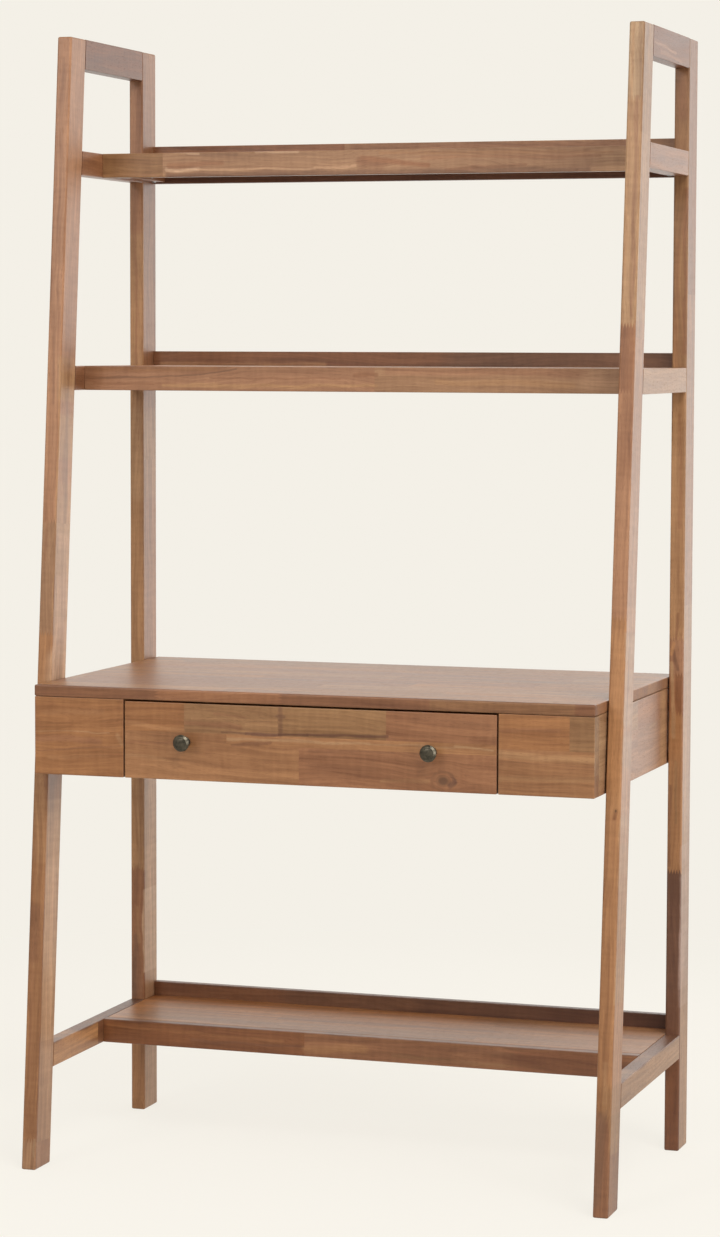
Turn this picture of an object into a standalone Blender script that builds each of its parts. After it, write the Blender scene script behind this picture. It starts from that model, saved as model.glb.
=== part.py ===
"""Ladder desk: two raked side frames carry three shelf trays and a desk box with one drawer.

Metres, +Z up. +X is the sitter's right and +Y points to the wall behind the desk. The origin
lies on the floor, in the middle of the width and of the whole depth.
"""

import math

import bmesh
import bpy
from mathutils import Matrix, Vector

# Side frames
WIDTH = 0.962
HEIGHT = 1.800
FOOT_DEPTH = 0.524
HEAD_DEPTH = 0.361
LEG_THICKNESS = 0.024
LEG_DEPTH = 0.060
LEG_EDGE = 0.0025
TOP_RAIL_HEIGHT = 0.048
RAIL_HEIGHT = 0.039
RAIL_EDGE = 0.0012
TENON_LENGTH = 0.022
TENON_THICKNESS = 0.009
TENON_SHOULDER = 0.007

# Shelf trays
UPPER_SHELF_DROP = 0.179
SHELF_SPACING = 0.345
LOWER_SHELF_HEIGHT = 0.192
UPPER_SHELF_DEPTH = 0.234
MIDDLE_SHELF_DEPTH = 0.312
LOWER_SHELF_DEPTH = 0.241
SHELF_CLEARANCE = 0.0005
SHELF_PANEL = 0.016
SHELF_FRONT_BOARD = 0.018
LIP_BOARD = 0.0145
LIP_RISE = 0.0235
SHELF_EDGE = 0.0012
CLEAT_WIDTH = 0.022
CLEAT_RECESS = 0.003

# Desk box
DESK_HEIGHT = 0.777
DESK_OVERHANG = 0.0705
DESK_CLEARANCE = 0.002
BOX_HEIGHT = 0.141
TOP_THICKNESS = 0.018
TOP_EDGE = 0.0025
FRONT_SETBACK = 0.001
FRONT_PANEL_WIDTH = 0.150
FRONT_THICKNESS = 0.025
FRONT_EDGE = 0.0012
SIDE_SETBACK = 0.0005
SIDE_THICKNESS = 0.018
BACK_THICKNESS = 0.016
DIVIDER_THICKNESS = 0.016
BOARD_EDGE = 0.0008

# Drawer
DRAWER_SIDE_GAP = 0.0025
DRAWER_TOP_GAP = 0.0027
DRAWER_LIFT = 0.014
DRAWER_HEADROOM = 0.022
DRAWER_BACK_CLEARANCE = 0.045
DRAWER_BOARD = 0.012
DRAWER_FINGERS = 5
DRAWER_BOTTOM = 0.005
BOTTOM_LIFT = 0.010
GROOVE_DEPTH = 0.006

# Telescopic runners
RUNNER_SPACE = 0.013
RUNNER_HEIGHT = 0.045
RUNNER_STEEL = 0.0012
RUNNER_PLAY = 0.0004
RUNNER_SETBACK = 0.006
RUNNER_INNER_BEND = 0.0006
RUNNER_LIP_GAP = 0.0012

# Knobs and their screws
KNOB_INSET = 0.102
KNOB_REACH = 0.024
KNOB_RADIUS = 0.0132
KNOB_DOME = 0.0045
KNOB_RIM = 0.0018
KNOB_FLARE = 0.0065
KNOB_CROWN_RADIUS = 0.002
KNOB_NECK_RADIUS = 0.0058
KNOB_FOOT_RADIUS = 0.0082
KNOB_FOOT = 0.003
KNOB_TIP_ROOM = 0.0015
KNOB_SCREW_RADIUS = 0.002
KNOB_SCREW_HEAD_RADIUS = 0.004
KNOB_SCREW_HEAD = 0.0022
KNOB_SCREW_BITE = 0.010

# Bolts that hold the desk box between the legs
BOLT_RADIUS = 0.003
BOLT_HEAD_RADIUS = 0.0075
BOLT_HEAD = 0.0026
BOLT_SOCKET_RADIUS = 0.0023
BOLT_SOCKET_FLOOR = 0.0008
BOLT_EDGE_DISTANCE = 0.028
BOLT_END_WALL = 0.006

# Fit between touching pieces, and facets of round ones
JOINT_GAP = 0.0003
EDGE_SEGMENTS = 2
BEND_STEPS = 3
KNOB_STEPS = 24
BOLT_STEPS = 16
DOME_STEPS = 6
HEXAGON = 6

# Levels
UPPER_SHELF_Z = HEIGHT - UPPER_SHELF_DROP
MIDDLE_SHELF_Z = UPPER_SHELF_Z - SHELF_SPACING
UNDER_TOP = DESK_HEIGHT - TOP_THICKNESS
BOX_BOTTOM = DESK_HEIGHT - BOX_HEIGHT
BOARD_TOP = UNDER_TOP - JOINT_GAP

# Front to back
RAKE = math.atan((FOOT_DEPTH - HEAD_DEPTH) / HEIGHT)
LEG_LEVEL_CUT = LEG_DEPTH / math.cos(RAKE)
DESK_DEPTH = FOOT_DEPTH - DESK_HEIGHT * math.tan(RAKE) + DESK_OVERHANG
WHOLE_DEPTH = DESK_DEPTH - FRONT_SETBACK + JOINT_GAP + KNOB_REACH
BACK = WHOLE_DEPTH / 2
BACK_LEG_FRONT = BACK - LEG_DEPTH
DESK_FRONT = BACK - DESK_DEPTH
FACE = DESK_FRONT + FRONT_SETBACK
FACE_BACK = FACE + FRONT_THICKNESS
BACK_PANEL_FRONT = BACK - BACK_THICKNESS
DRAWER_BOX_FRONT = FACE_BACK + JOINT_GAP
DRAWER_BOX_BACK = BACK_PANEL_FRONT - DRAWER_BACK_CLEARANCE

# Across
INNER_HALF = WIDTH / 2 - LEG_THICKNESS
LEG_CENTRE = WIDTH / 2 - LEG_THICKNESS / 2
SHELF_HALF = INNER_HALF - SHELF_CLEARANCE
DESK_HALF = INNER_HALF - DESK_CLEARANCE
BOX_HALF = DESK_HALF - SIDE_SETBACK
SIDE_INNER = BOX_HALF - SIDE_THICKNESS
OPENING_HALF = BOX_HALF - FRONT_PANEL_WIDTH
DRAWER_FRONT_HALF = OPENING_HALF - DRAWER_SIDE_GAP
DRAWER_HALF = OPENING_HALF - RUNNER_SPACE
BOLT_LENGTH = WIDTH / 2 - BOLT_END_WALL - SIDE_INNER

# Heights inside the desk box
DRAWER_FRONT_TOP = UNDER_TOP - DRAWER_TOP_GAP
DRAWER_BOX_BOTTOM = BOX_BOTTOM + DRAWER_LIFT
DRAWER_BOX_TOP = UNDER_TOP - DRAWER_HEADROOM
RUNNER_Z = (DRAWER_BOX_BOTTOM + DRAWER_BOX_TOP) / 2
KNOB_X = DRAWER_FRONT_HALF - KNOB_INSET
KNOB_Z = (BOX_BOTTOM + DRAWER_FRONT_TOP) / 2

SIDES = (("left", -1), ("right", 1))


def finish(name, colour, roughness, metallic=0.0):
    """A material with one colour, roughness and metallic value."""
    material = bpy.data.materials.new(name)
    material.use_nodes = True
    shader = material.node_tree.nodes["Principled BSDF"]
    shader.inputs["Base Color"].default_value = (*colour, 1.0)
    shader.inputs["Roughness"].default_value = roughness
    shader.inputs["Metallic"].default_value = metallic
    return material


def group(name, place):
    """An empty that carries the pieces of one assembly."""
    empty = bpy.data.objects.new(name, None)
    empty.location = place
    bpy.context.collection.objects.link(empty)
    return empty


def add(name, bm, material, parent, place, turn=(0.0, 0.0, 0.0)):
    """Makes an object of the mesh, at a place in the world, under an unturned group."""
    bmesh.ops.recalc_face_normals(bm, faces=bm.faces)
    mesh = bpy.data.meshes.new(name)
    bm.to_mesh(mesh)
    bm.free()
    mesh.materials.append(material)
    piece = bpy.data.objects.new(name, mesh)
    bpy.context.collection.objects.link(piece)
    piece.parent = parent
    piece.location = Vector(place) - parent.location
    piece.rotation_euler = turn
    return piece


def add_tool(name, bm, parent, place, turn=(0.0, 0.0, 0.0)):
    """Makes a helper solid that joins to or cuts other pieces and is no piece itself."""
    tool = add(name, bm, bare_wood, parent, place, turn)
    tool.hide_render = True
    tool.display_type = "WIRE"
    return tool


def combine(piece, tool, operation):
    """Joins the tool's solid to the piece (UNION) or cuts it out (DIFFERENCE)."""
    modifier = piece.modifiers.new(tool.name, "BOOLEAN")
    modifier.operation = operation
    modifier.solver = "EXACT"
    modifier.object = tool


def smooth(piece):
    """Shades a turned or bent piece smooth, with its sharp edges kept."""
    piece.data.shade_smooth()
    piece.data.set_sharp_from_angle(angle=math.radians(35))


def ease(bm, radius, along=None):
    """Rounds all edges, or only those that run along one axis."""
    edges = list(bm.edges)
    if along is not None:
        axis = Vector(along)
        edges = [e for e in edges if abs((e.verts[1].co - e.verts[0].co).normalized().dot(axis)) > 0.999]
    bmesh.ops.bevel(
        bm,
        geom=edges,
        offset=radius,
        segments=EDGE_SEGMENTS,
        profile=0.5,
        affect="EDGES",
        clamp_overlap=True,
    )


def block(size):
    """A box of the given size round its own centre."""
    bm = bmesh.new()
    bmesh.ops.create_cube(bm, size=1.0)
    bmesh.ops.scale(bm, vec=size, verts=bm.verts)
    return bm


def board(name, low, high, material, parent, radius=BOARD_EDGE, along=None):
    """A straight board between two opposite corners, with eased edges."""
    low, high = Vector(low), Vector(high)
    bm = block(high - low)
    ease(bm, radius, along)
    return add(name, bm, material, parent, (low + high) / 2)


def extruded(outline, thickness, across="X"):
    """A flat outline of (run, height) points, thickened evenly across X or Y."""
    bm = bmesh.new()
    half = thickness / 2
    if across == "X":
        verts = [bm.verts.new((-half, run, height)) for run, height in outline]
        push = Vector((thickness, 0.0, 0.0))
    else:
        verts = [bm.verts.new((run, -half, height)) for run, height in outline]
        push = Vector((0.0, thickness, 0.0))
    face = bm.faces.new(verts)
    top = bmesh.ops.extrude_face_region(bm, geom=[face])
    moved = [item for item in top["geom"] if isinstance(item, bmesh.types.BMVert)]
    bmesh.ops.translate(bm, vec=push, verts=moved)
    return bm


def turned(rings):
    """A solid of rings (height, radius, sides) from bottom to top, bridged and capped."""
    bm = bmesh.new()
    loops = []
    for height, radius, sides in rings:
        place = Matrix.Translation((0.0, 0.0, height))
        made = bmesh.ops.create_circle(bm, segments=sides, radius=radius, matrix=place)
        edges = {edge for vert in made["verts"] for edge in vert.link_edges}
        loops.append(list(edges))
    for lower, upper in zip(loops, loops[1:]):
        bmesh.ops.bridge_loops(bm, edges=lower + upper)
    bmesh.ops.contextual_create(bm, geom=loops[0])
    bmesh.ops.contextual_create(bm, geom=loops[-1])
    return bm


def rod(radius, low, high):
    """A round bar along Z."""
    return turned([(low, radius, BOLT_STEPS), (high, radius, BOLT_STEPS)])


def arc(centre, radius, start, stop, steps):
    """Points along a circular arc, with its angles in degrees."""
    points = []
    for step in range(steps + 1):
        angle = math.radians(start + (stop - start) * step / steps)
        points.append((centre[0] + radius * math.cos(angle), centre[1] + radius * math.sin(angle)))
    return points


def leg_front(z):
    """Y of the raked leg's front face at a height."""
    return BACK - FOOT_DEPTH + z * math.tan(RAKE)


def leg_back(z):
    """Y of the raked leg's back face at a height."""
    return leg_front(z) + LEG_LEVEL_CUT


def make_legs(name, x, parent):
    """The raked front leg and the upright back leg of one side frame."""
    foot = leg_front(0.0)
    raked = [
        (0.0, 0.0),
        (LEG_LEVEL_CUT, 0.0),
        (leg_back(HEIGHT) - foot, HEIGHT),
        (leg_front(HEIGHT) - foot, HEIGHT),
    ]
    bm = extruded(raked, LEG_THICKNESS)
    ease(bm, LEG_EDGE)
    front = add("front_leg_" + name, bm, leg_wood, parent, (x, foot, 0.0))
    upright = [(0.0, 0.0), (LEG_DEPTH, 0.0), (LEG_DEPTH, HEIGHT), (0.0, HEIGHT)]
    bm = extruded(upright, LEG_THICKNESS)
    ease(bm, LEG_EDGE)
    back = add("back_leg_" + name, bm, leg_wood, parent, (x, BACK_LEG_FRONT, 0.0))
    return front, back


def rail_outline(seat_z, low, high, reach):
    """Outline of a bar between the legs that runs past both shoulders by reach.

    Runs are from the back leg's front face and heights from seat_z.
    """
    bottom, top = low - seat_z, high - seat_z
    return [
        (leg_back(low) - reach - BACK_LEG_FRONT, bottom),
        (reach, bottom),
        (reach, top),
        (leg_back(high) - reach - BACK_LEG_FRONT, top),
    ]


def make_rail(name, top, height, x, legs, parent):
    """A rail with a tenon at each end, and the mortises that take them in both legs."""
    place = (x, BACK_LEG_FRONT, top)
    bm = extruded(rail_outline(top, top - height, top, -JOINT_GAP), LEG_THICKNESS)
    ease(bm, RAIL_EDGE, along=(0.0, 1.0, 0.0))
    rail = add(name, bm, rail_wood, parent, place)
    low, high = top - height + TENON_SHOULDER, top - TENON_SHOULDER
    bm = extruded(rail_outline(top, low, high, TENON_LENGTH), TENON_THICKNESS)
    combine(rail, add_tool("tenon_of_" + name, bm, parent, place), "UNION")
    room = rail_outline(top, low - JOINT_GAP, high + JOINT_GAP, TENON_LENGTH + JOINT_GAP)
    bm = extruded(room, TENON_THICKNESS + 2 * JOINT_GAP)
    mortise = add_tool("mortise_for_" + name, bm, parent, place)
    for leg in legs:
        combine(leg, mortise, "DIFFERENCE")


def make_side_frame(name, side):
    """Two legs and four rails. Returns the legs, which the desk box is bolted to."""
    x = side * LEG_CENTRE
    parent = group("side_frame_" + name, (x, BACK, 0.0))
    legs = make_legs(name, x, parent)
    rails = (
        ("top_rail_", HEIGHT, TOP_RAIL_HEIGHT),
        ("upper_shelf_rail_", UPPER_SHELF_Z, RAIL_HEIGHT),
        ("middle_shelf_rail_", MIDDLE_SHELF_Z, RAIL_HEIGHT),
        ("lower_shelf_rail_", LOWER_SHELF_HEIGHT, RAIL_HEIGHT),
    )
    for kind, top, height in rails:
        make_rail(kind + name, top, height, x, legs, parent)
    return legs


def make_shelf(name, top, depth):
    """A shelf tray: a panel between a front board and a lipped back board, on two cleats."""
    parent = group(name, (0.0, BACK, top))
    bottom = top - RAIL_HEIGHT
    front = BACK - depth
    panel_front = front + SHELF_FRONT_BOARD + JOINT_GAP
    lip_front = BACK - LIP_BOARD
    panel_back = lip_front - JOINT_GAP
    lengthwise = (1.0, 0.0, 0.0)
    board(
        name + "_front_board",
        (-SHELF_HALF, front, bottom),
        (SHELF_HALF, front + SHELF_FRONT_BOARD, top),
        board_wood,
        parent,
        SHELF_EDGE,
        lengthwise,
    )
    board(
        name + "_back_board",
        (-SHELF_HALF, lip_front, bottom),
        (SHELF_HALF, BACK, top + LIP_RISE),
        board_wood,
        parent,
        SHELF_EDGE,
        lengthwise,
    )
    under = top - SHELF_PANEL
    board(
        name + "_panel",
        (-SHELF_HALF, panel_front, under),
        (SHELF_HALF, panel_back, top),
        board_wood,
        parent,
    )
    for side_name, side in SIDES:
        ends = sorted((side * SHELF_HALF, side * (SHELF_HALF - CLEAT_WIDTH)))
        board(
            name + "_cleat_" + side_name,
            (ends[0], panel_front, bottom + CLEAT_RECESS),
            (ends[1], panel_back, under - JOINT_GAP),
            bare_wood,
            parent,
        )


def make_desk_box():
    """The fixed boards of the desk box. Returns the group and the two side panels."""
    parent = group("desk_box", (0.0, BACK, BOX_BOTTOM))
    board(
        "desk_top",
        (-DESK_HALF, DESK_FRONT, UNDER_TOP),
        (DESK_HALF, BACK, DESK_HEIGHT),
        top_wood,
        parent,
        TOP_EDGE,
    )
    sides = {}
    for name, side in SIDES:
        ends = sorted((side * OPENING_HALF, side * BOX_HALF))
        board(
            "front_panel_" + name,
            (ends[0], FACE, BOX_BOTTOM),
            (ends[1], FACE_BACK, BOARD_TOP),
            board_wood,
            parent,
            FRONT_EDGE,
        )
        ends = sorted((side * SIDE_INNER, side * BOX_HALF))
        sides[name] = board(
            "desk_side_" + name,
            (ends[0], DRAWER_BOX_FRONT, BOX_BOTTOM),
            (ends[1], BACK, BOARD_TOP),
            board_wood,
            parent,
        )
        ends = sorted((side * OPENING_HALF, side * (OPENING_HALF + DIVIDER_THICKNESS)))
        board(
            "drawer_divider_" + name,
            (ends[0], DRAWER_BOX_FRONT, BOX_BOTTOM),
            (ends[1], BACK_PANEL_FRONT - JOINT_GAP, BOARD_TOP),
            bare_wood,
            parent,
        )
    board(
        "desk_back",
        (JOINT_GAP - SIDE_INNER, BACK_PANEL_FRONT, BOX_BOTTOM),
        (SIDE_INNER - JOINT_GAP, BACK, BOARD_TOP),
        board_wood,
        parent,
    )
    return parent, sides


def bolt_mesh():
    """A furniture bolt: shank along +Z, flat head under z 0 with a hexagon socket."""
    chamfer = BOLT_HEAD / 4
    return turned(
        [
            (-JOINT_GAP - BOLT_SOCKET_FLOOR, BOLT_SOCKET_RADIUS, HEXAGON),
            (-BOLT_HEAD, BOLT_SOCKET_RADIUS, HEXAGON),
            (-BOLT_HEAD, BOLT_HEAD_RADIUS - chamfer, BOLT_STEPS),
            (chamfer - BOLT_HEAD, BOLT_HEAD_RADIUS, BOLT_STEPS),
            (-JOINT_GAP, BOLT_HEAD_RADIUS, BOLT_STEPS),
            (-JOINT_GAP, BOLT_RADIUS, BOLT_STEPS),
            (BOLT_LENGTH - chamfer, BOLT_RADIUS, BOLT_STEPS),
            (BOLT_LENGTH, BOLT_RADIUS - chamfer, BOLT_STEPS),
        ]
    )


def make_bolts(name, side, legs, panel, parent):
    """Four bolts from inside the desk box, through its side panel and into the legs of one frame."""
    levels = (
        ("lower", BOX_BOTTOM + BOLT_EDGE_DISTANCE),
        ("upper", UNDER_TOP - BOLT_EDGE_DISTANCE),
    )
    turn = (0.0, side * math.pi / 2, 0.0)
    for level, z in levels:
        front_y = (leg_front(z) + leg_back(z)) / 2
        back_y = (BACK_LEG_FRONT + BACK_PANEL_FRONT) / 2
        for end, leg, y in (("front", legs[0], front_y), ("back", legs[1], back_y)):
            place = (side * SIDE_INNER, y, z)
            label = "_".join((end, name, level))
            bolt = add("desk_bolt_" + label, bolt_mesh(), bolt_steel, parent, place, turn)
            smooth(bolt)
            bm = rod(BOLT_RADIUS + JOINT_GAP, -BOLT_HEAD, BOLT_LENGTH + JOINT_GAP)
            hole = add_tool("bolt_hole_" + label, bm, parent, place, turn)
            combine(panel, hole, "DIFFERENCE")
            combine(leg, hole, "DIFFERENCE")


def finger_outline(half_run, low, high, own):
    """Board outline whose ends step in by a board thickness wherever the fingers aren't its own."""
    pitch = (high - low) / DRAWER_FINGERS
    right = []
    for finger in range(DRAWER_FINGERS):
        mine = finger % 2 == own
        reach = half_run if mine else half_run - DRAWER_BOARD - JOINT_GAP
        trim = JOINT_GAP / 2 if mine else -JOINT_GAP / 2
        bottom = low + finger * pitch + (trim if finger else 0.0)
        top = low + (finger + 1) * pitch - (trim if finger < DRAWER_FINGERS - 1 else 0.0)
        right += [(reach, bottom), (reach, top)]
    left = [(-run, height) for run, height in reversed(right)]
    return right + left


def make_drawer_box(parent):
    """Four finger-jointed boards round a bottom let into grooves. Returns the inner front."""
    middle = (DRAWER_BOX_FRONT + DRAWER_BOX_BACK) / 2
    half_length = (DRAWER_BOX_BACK - DRAWER_BOX_FRONT) / 2
    centre_z = RUNNER_Z
    half_height = (DRAWER_BOX_TOP - DRAWER_BOX_BOTTOM) / 2
    side_outline = finger_outline(half_length, -half_height, half_height, own=0)
    end_outline = finger_outline(DRAWER_HALF, -half_height, half_height, own=1)
    boards = []
    for name, side in SIDES:
        x = side * (DRAWER_HALF - DRAWER_BOARD / 2)
        bm = extruded(side_outline, DRAWER_BOARD)
        boards.append(add("drawer_side_" + name, bm, bare_wood, parent, (x, middle, centre_z)))
    ends = (
        ("drawer_inner_front", DRAWER_BOX_FRONT + DRAWER_BOARD / 2),
        ("drawer_back", DRAWER_BOX_BACK - DRAWER_BOARD / 2),
    )
    for name, y in ends:
        bm = extruded(end_outline, DRAWER_BOARD, across="Y")
        boards.append(add(name, bm, bare_wood, parent, (0.0, y, centre_z)))
    inset = DRAWER_BOARD - GROOVE_DEPTH
    size = Vector((2 * (DRAWER_HALF - inset), 2 * (half_length - inset), DRAWER_BOTTOM))
    place = (0.0, middle, DRAWER_BOX_BOTTOM + BOTTOM_LIFT + DRAWER_BOTTOM / 2)
    add("drawer_bottom", block(size), bottom_ply, parent, place)
    room = size + 2 * Vector((JOINT_GAP, JOINT_GAP, JOINT_GAP))
    groove = add_tool("bottom_groove", block(room), parent, place)
    for piece in boards:
        combine(piece, groove, "DIFFERENCE")
    return boards[2]


def knob_rings():
    """Knob rings from the bore's end, out over the foot, neck and flare, to the domed face."""
    bore = KNOB_SCREW_RADIUS + JOINT_GAP
    dome_z = KNOB_REACH - KNOB_DOME
    rim_z = dome_z - KNOB_RIM
    neck_z = rim_z - KNOB_FLARE
    rings = [
        (KNOB_SCREW_BITE + KNOB_TIP_ROOM, bore),
        (0.0, bore),
        (0.0, KNOB_FOOT_RADIUS),
        (KNOB_FOOT / 2, KNOB_FOOT_RADIUS),
        (KNOB_FOOT, KNOB_NECK_RADIUS),
    ]
    quarter = [math.pi / 2 * step / DOME_STEPS for step in range(DOME_STEPS + 1)]
    spread = KNOB_RADIUS - KNOB_NECK_RADIUS
    for angle in quarter:
        rings.append((neck_z + KNOB_FLARE * math.sin(angle), KNOB_RADIUS - spread * math.cos(angle)))
    fall = KNOB_RADIUS - KNOB_CROWN_RADIUS
    for angle in quarter:
        rings.append((dome_z + KNOB_DOME * math.sin(angle), KNOB_CROWN_RADIUS + fall * math.cos(angle)))
    return [(z, radius, KNOB_STEPS) for z, radius in rings]


def make_knobs(front, inner_front, parent):
    """Two turned knobs, each held by a screw through the drawer front and the inner front."""
    outwards = (math.pi / 2, 0.0, 0.0)
    head_y = DRAWER_BOX_FRONT + DRAWER_BOARD
    grip = head_y - FACE
    shank = grip + KNOB_SCREW_BITE
    screw = [
        (-KNOB_SCREW_HEAD, KNOB_SCREW_HEAD_RADIUS / 2, BOLT_STEPS),
        (-KNOB_SCREW_HEAD / 2, KNOB_SCREW_HEAD_RADIUS, BOLT_STEPS),
        (-JOINT_GAP, KNOB_SCREW_HEAD_RADIUS, BOLT_STEPS),
        (-JOINT_GAP, KNOB_SCREW_RADIUS, BOLT_STEPS),
        (shank, KNOB_SCREW_RADIUS, BOLT_STEPS),
    ]
    for name, side in SIDES:
        x = side * KNOB_X
        place = (x, FACE - JOINT_GAP, KNOB_Z)
        smooth(add("knob_" + name, turned(knob_rings()), knob_bronze, parent, place, outwards))
        place = (x, head_y, KNOB_Z)
        smooth(add("knob_screw_" + name, turned(screw), bolt_steel, parent, place, outwards))
        bm = rod(KNOB_SCREW_RADIUS + JOINT_GAP, -KNOB_SCREW_HEAD, grip + KNOB_SCREW_HEAD)
        hole = add_tool("knob_hole_" + name, bm, parent, place, outwards)
        combine(front, hole, "DIFFERENCE")
        combine(inner_front, hole, "DIFFERENCE")


def channel_outline(web, tip, half_height):
    """Outline of a bent channel: its web stands at x = web and its flanges reach to x = tip."""
    way = 1 if tip > web else -1
    inner = RUNNER_INNER_BEND
    outer = inner + RUNNER_STEEL
    centre = (outer, half_height - outer)
    span = abs(tip - web)
    upper = [(span, half_height)]
    upper += arc(centre, outer, 90, 180, BEND_STEPS)
    lower = [(run, -height) for run, height in reversed(upper)]
    inside = [(span, RUNNER_STEEL - half_height)]
    inside += [(run, -height) for run, height in arc(centre, inner, 90, 180, BEND_STEPS)]
    back = [(run, -height) for run, height in reversed(inside)]
    return [(web + way * run, height) for run, height in upper + lower + inside + back]


def make_runner(name, side, desk, drawer):
    """One telescopic runner: nested channels on the divider, in between and on the drawer side."""
    front = FACE_BACK + RUNNER_SETBACK
    back = DRAWER_BOX_BACK - RUNNER_SETBACK
    length = back - front
    half = RUNNER_HEIGHT / 2
    step = RUNNER_STEEL + RUNNER_PLAY
    outer_web = JOINT_GAP
    middle_web = outer_web + step
    inner_web = RUNNER_SPACE - JOINT_GAP
    members = (
        ("outer", outer_web, inner_web - RUNNER_STEEL - RUNNER_LIP_GAP, half, desk),
        ("middle", middle_web, inner_web - RUNNER_STEEL - RUNNER_PLAY, half - step, desk),
        ("inner", inner_web, middle_web + step, half - 2 * step, drawer),
    )
    place = (side * OPENING_HALF, (front + back) / 2, RUNNER_Z)
    for member, web, tip, half_height, parent in members:
        outline = channel_outline(-side * web, -side * tip, half_height)
        bm = extruded(outline, length, across="Y")
        smooth(add("runner_" + member + "_" + name, bm, runner_steel, parent, place))


def make_drawer(desk):
    """The sliding drawer, its knobs and its runners."""
    centre = ((FACE + FACE_BACK) / 2, (BOX_BOTTOM + DRAWER_FRONT_TOP) / 2)
    parent = group("drawer", (0.0, centre[0], centre[1]))
    front = board(
        "drawer_front",
        (-DRAWER_FRONT_HALF, FACE, BOX_BOTTOM),
        (DRAWER_FRONT_HALF, FACE_BACK, DRAWER_FRONT_TOP),
        board_wood,
        parent,
        FRONT_EDGE,
    )
    inner_front = make_drawer_box(parent)
    make_knobs(front, inner_front, parent)
    for name, side in SIDES:
        make_runner(name, side, desk, parent)


for leftover in list(bpy.data.objects):
    bpy.data.objects.remove(leftover, do_unlink=True)

leg_wood = finish("leg_wood", (0.36, 0.17, 0.075), 0.45)
rail_wood = finish("rail_wood", (0.38, 0.18, 0.08), 0.45)
board_wood = finish("board_wood", (0.34, 0.155, 0.065), 0.45)
top_wood = finish("top_wood", (0.40, 0.21, 0.11), 0.38)
bare_wood = finish("bare_wood", (0.52, 0.33, 0.17), 0.65)
bottom_ply = finish("bottom_ply", (0.62, 0.45, 0.26), 0.6)
runner_steel = finish("runner_steel", (0.62, 0.63, 0.64), 0.35, 1.0)
bolt_steel = finish("bolt_steel", (0.42, 0.42, 0.42), 0.4, 1.0)
knob_bronze = finish("knob_bronze", (0.10, 0.085, 0.065), 0.35, 1.0)

frames = {name: make_side_frame(name, side) for name, side in SIDES}
make_shelf("upper_shelf", UPPER_SHELF_Z, UPPER_SHELF_DEPTH)
make_shelf("middle_shelf", MIDDLE_SHELF_Z, MIDDLE_SHELF_DEPTH)
make_shelf("lower_shelf", LOWER_SHELF_HEIGHT, LOWER_SHELF_DEPTH)
desk_group, desk_sides = make_desk_box()
for name, side in SIDES:
    make_bolts(name, side, frames[name], desk_sides[name], desk_group)
make_drawer(desk_group)
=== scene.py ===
import math

import bmesh
import bpy
from mathutils import Matrix, Vector


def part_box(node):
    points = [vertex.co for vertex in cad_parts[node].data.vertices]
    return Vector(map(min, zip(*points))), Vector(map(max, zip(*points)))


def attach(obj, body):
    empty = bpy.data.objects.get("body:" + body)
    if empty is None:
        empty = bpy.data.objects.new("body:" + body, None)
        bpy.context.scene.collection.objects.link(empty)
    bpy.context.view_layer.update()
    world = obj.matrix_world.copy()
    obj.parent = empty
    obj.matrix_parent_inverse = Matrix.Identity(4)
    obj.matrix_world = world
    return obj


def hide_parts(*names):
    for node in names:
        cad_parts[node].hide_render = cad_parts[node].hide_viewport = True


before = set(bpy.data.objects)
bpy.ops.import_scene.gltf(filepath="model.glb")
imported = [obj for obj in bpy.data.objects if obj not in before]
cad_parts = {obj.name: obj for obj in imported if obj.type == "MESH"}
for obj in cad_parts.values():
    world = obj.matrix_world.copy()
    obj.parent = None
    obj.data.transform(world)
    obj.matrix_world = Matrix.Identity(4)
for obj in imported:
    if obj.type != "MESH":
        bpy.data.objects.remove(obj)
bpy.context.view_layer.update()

# Front legs. Solid acacia, glued up end to end from short staves with finger joints, planed to
# 24 by 60 mm and rubbed with a satin oil. They lean back with the rake of the side frames, and
# the rails are tenoned into them. The joints and knots lie where the photograph shows them.
WOOD_TONES = {
    "ivory": (0.560, 0.345, 0.205, 1.0),
    # Used only for a painted sheen on the right back leg.
    "painted_sheen": (0.495, 0.345, 0.280, 1.0),
    "petal": (0.470, 0.262, 0.140, 1.0),
    "oat": (0.405, 0.250, 0.135, 1.0),
    "straw": (0.400, 0.220, 0.105, 1.0),
    "apricot": (0.430, 0.205, 0.084, 1.0),
    # Used only for warm, painted light on the shelf panels.
    "copper_painted_light": (0.470, 0.190, 0.062, 1.0),
    "wheat": (0.365, 0.185, 0.080, 1.0),
    "blush": (0.366, 0.174, 0.085, 1.0),
    "fawn": (0.325, 0.168, 0.082, 1.0),
    "honey": (0.335, 0.152, 0.060, 1.0),
    "tan": (0.308, 0.138, 0.055, 1.0),
    "amber": (0.312, 0.131, 0.046, 1.0),
    "sage": (0.288, 0.144, 0.058, 1.0),
    "olive": (0.268, 0.132, 0.054, 1.0),
    "rose": (0.304, 0.143, 0.070, 1.0),
    "russet": (0.278, 0.117, 0.050, 1.0),
    "chestnut": (0.222, 0.092, 0.040, 1.0),
    "walnut": (0.178, 0.081, 0.040, 1.0),
    "umber": (0.150, 0.063, 0.032, 1.0),
    "cocoa": (0.163, 0.055, 0.019, 1.0),
    "cedar": (0.222, 0.080, 0.027, 1.0),
    "ebony": (0.080, 0.030, 0.016, 1.0),
    "ash": (0.165, 0.090, 0.062, 1.0),
}


def feed(tree, socket, value):
    """Links a node's input to another node's output, or sets the input's own value."""
    if isinstance(value, bpy.types.NodeSocket):
        tree.links.new(value, socket)
    else:
        socket.default_value = value


def plant(tree, kind, inputs, **properties):
    """Adds one node with its properties and inputs set."""
    made = tree.nodes.new(kind)
    for name, value in properties.items():
        setattr(made, name, value)
    for name, value in inputs.items():
        feed(tree, made.inputs[name], value)
    return made


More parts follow.
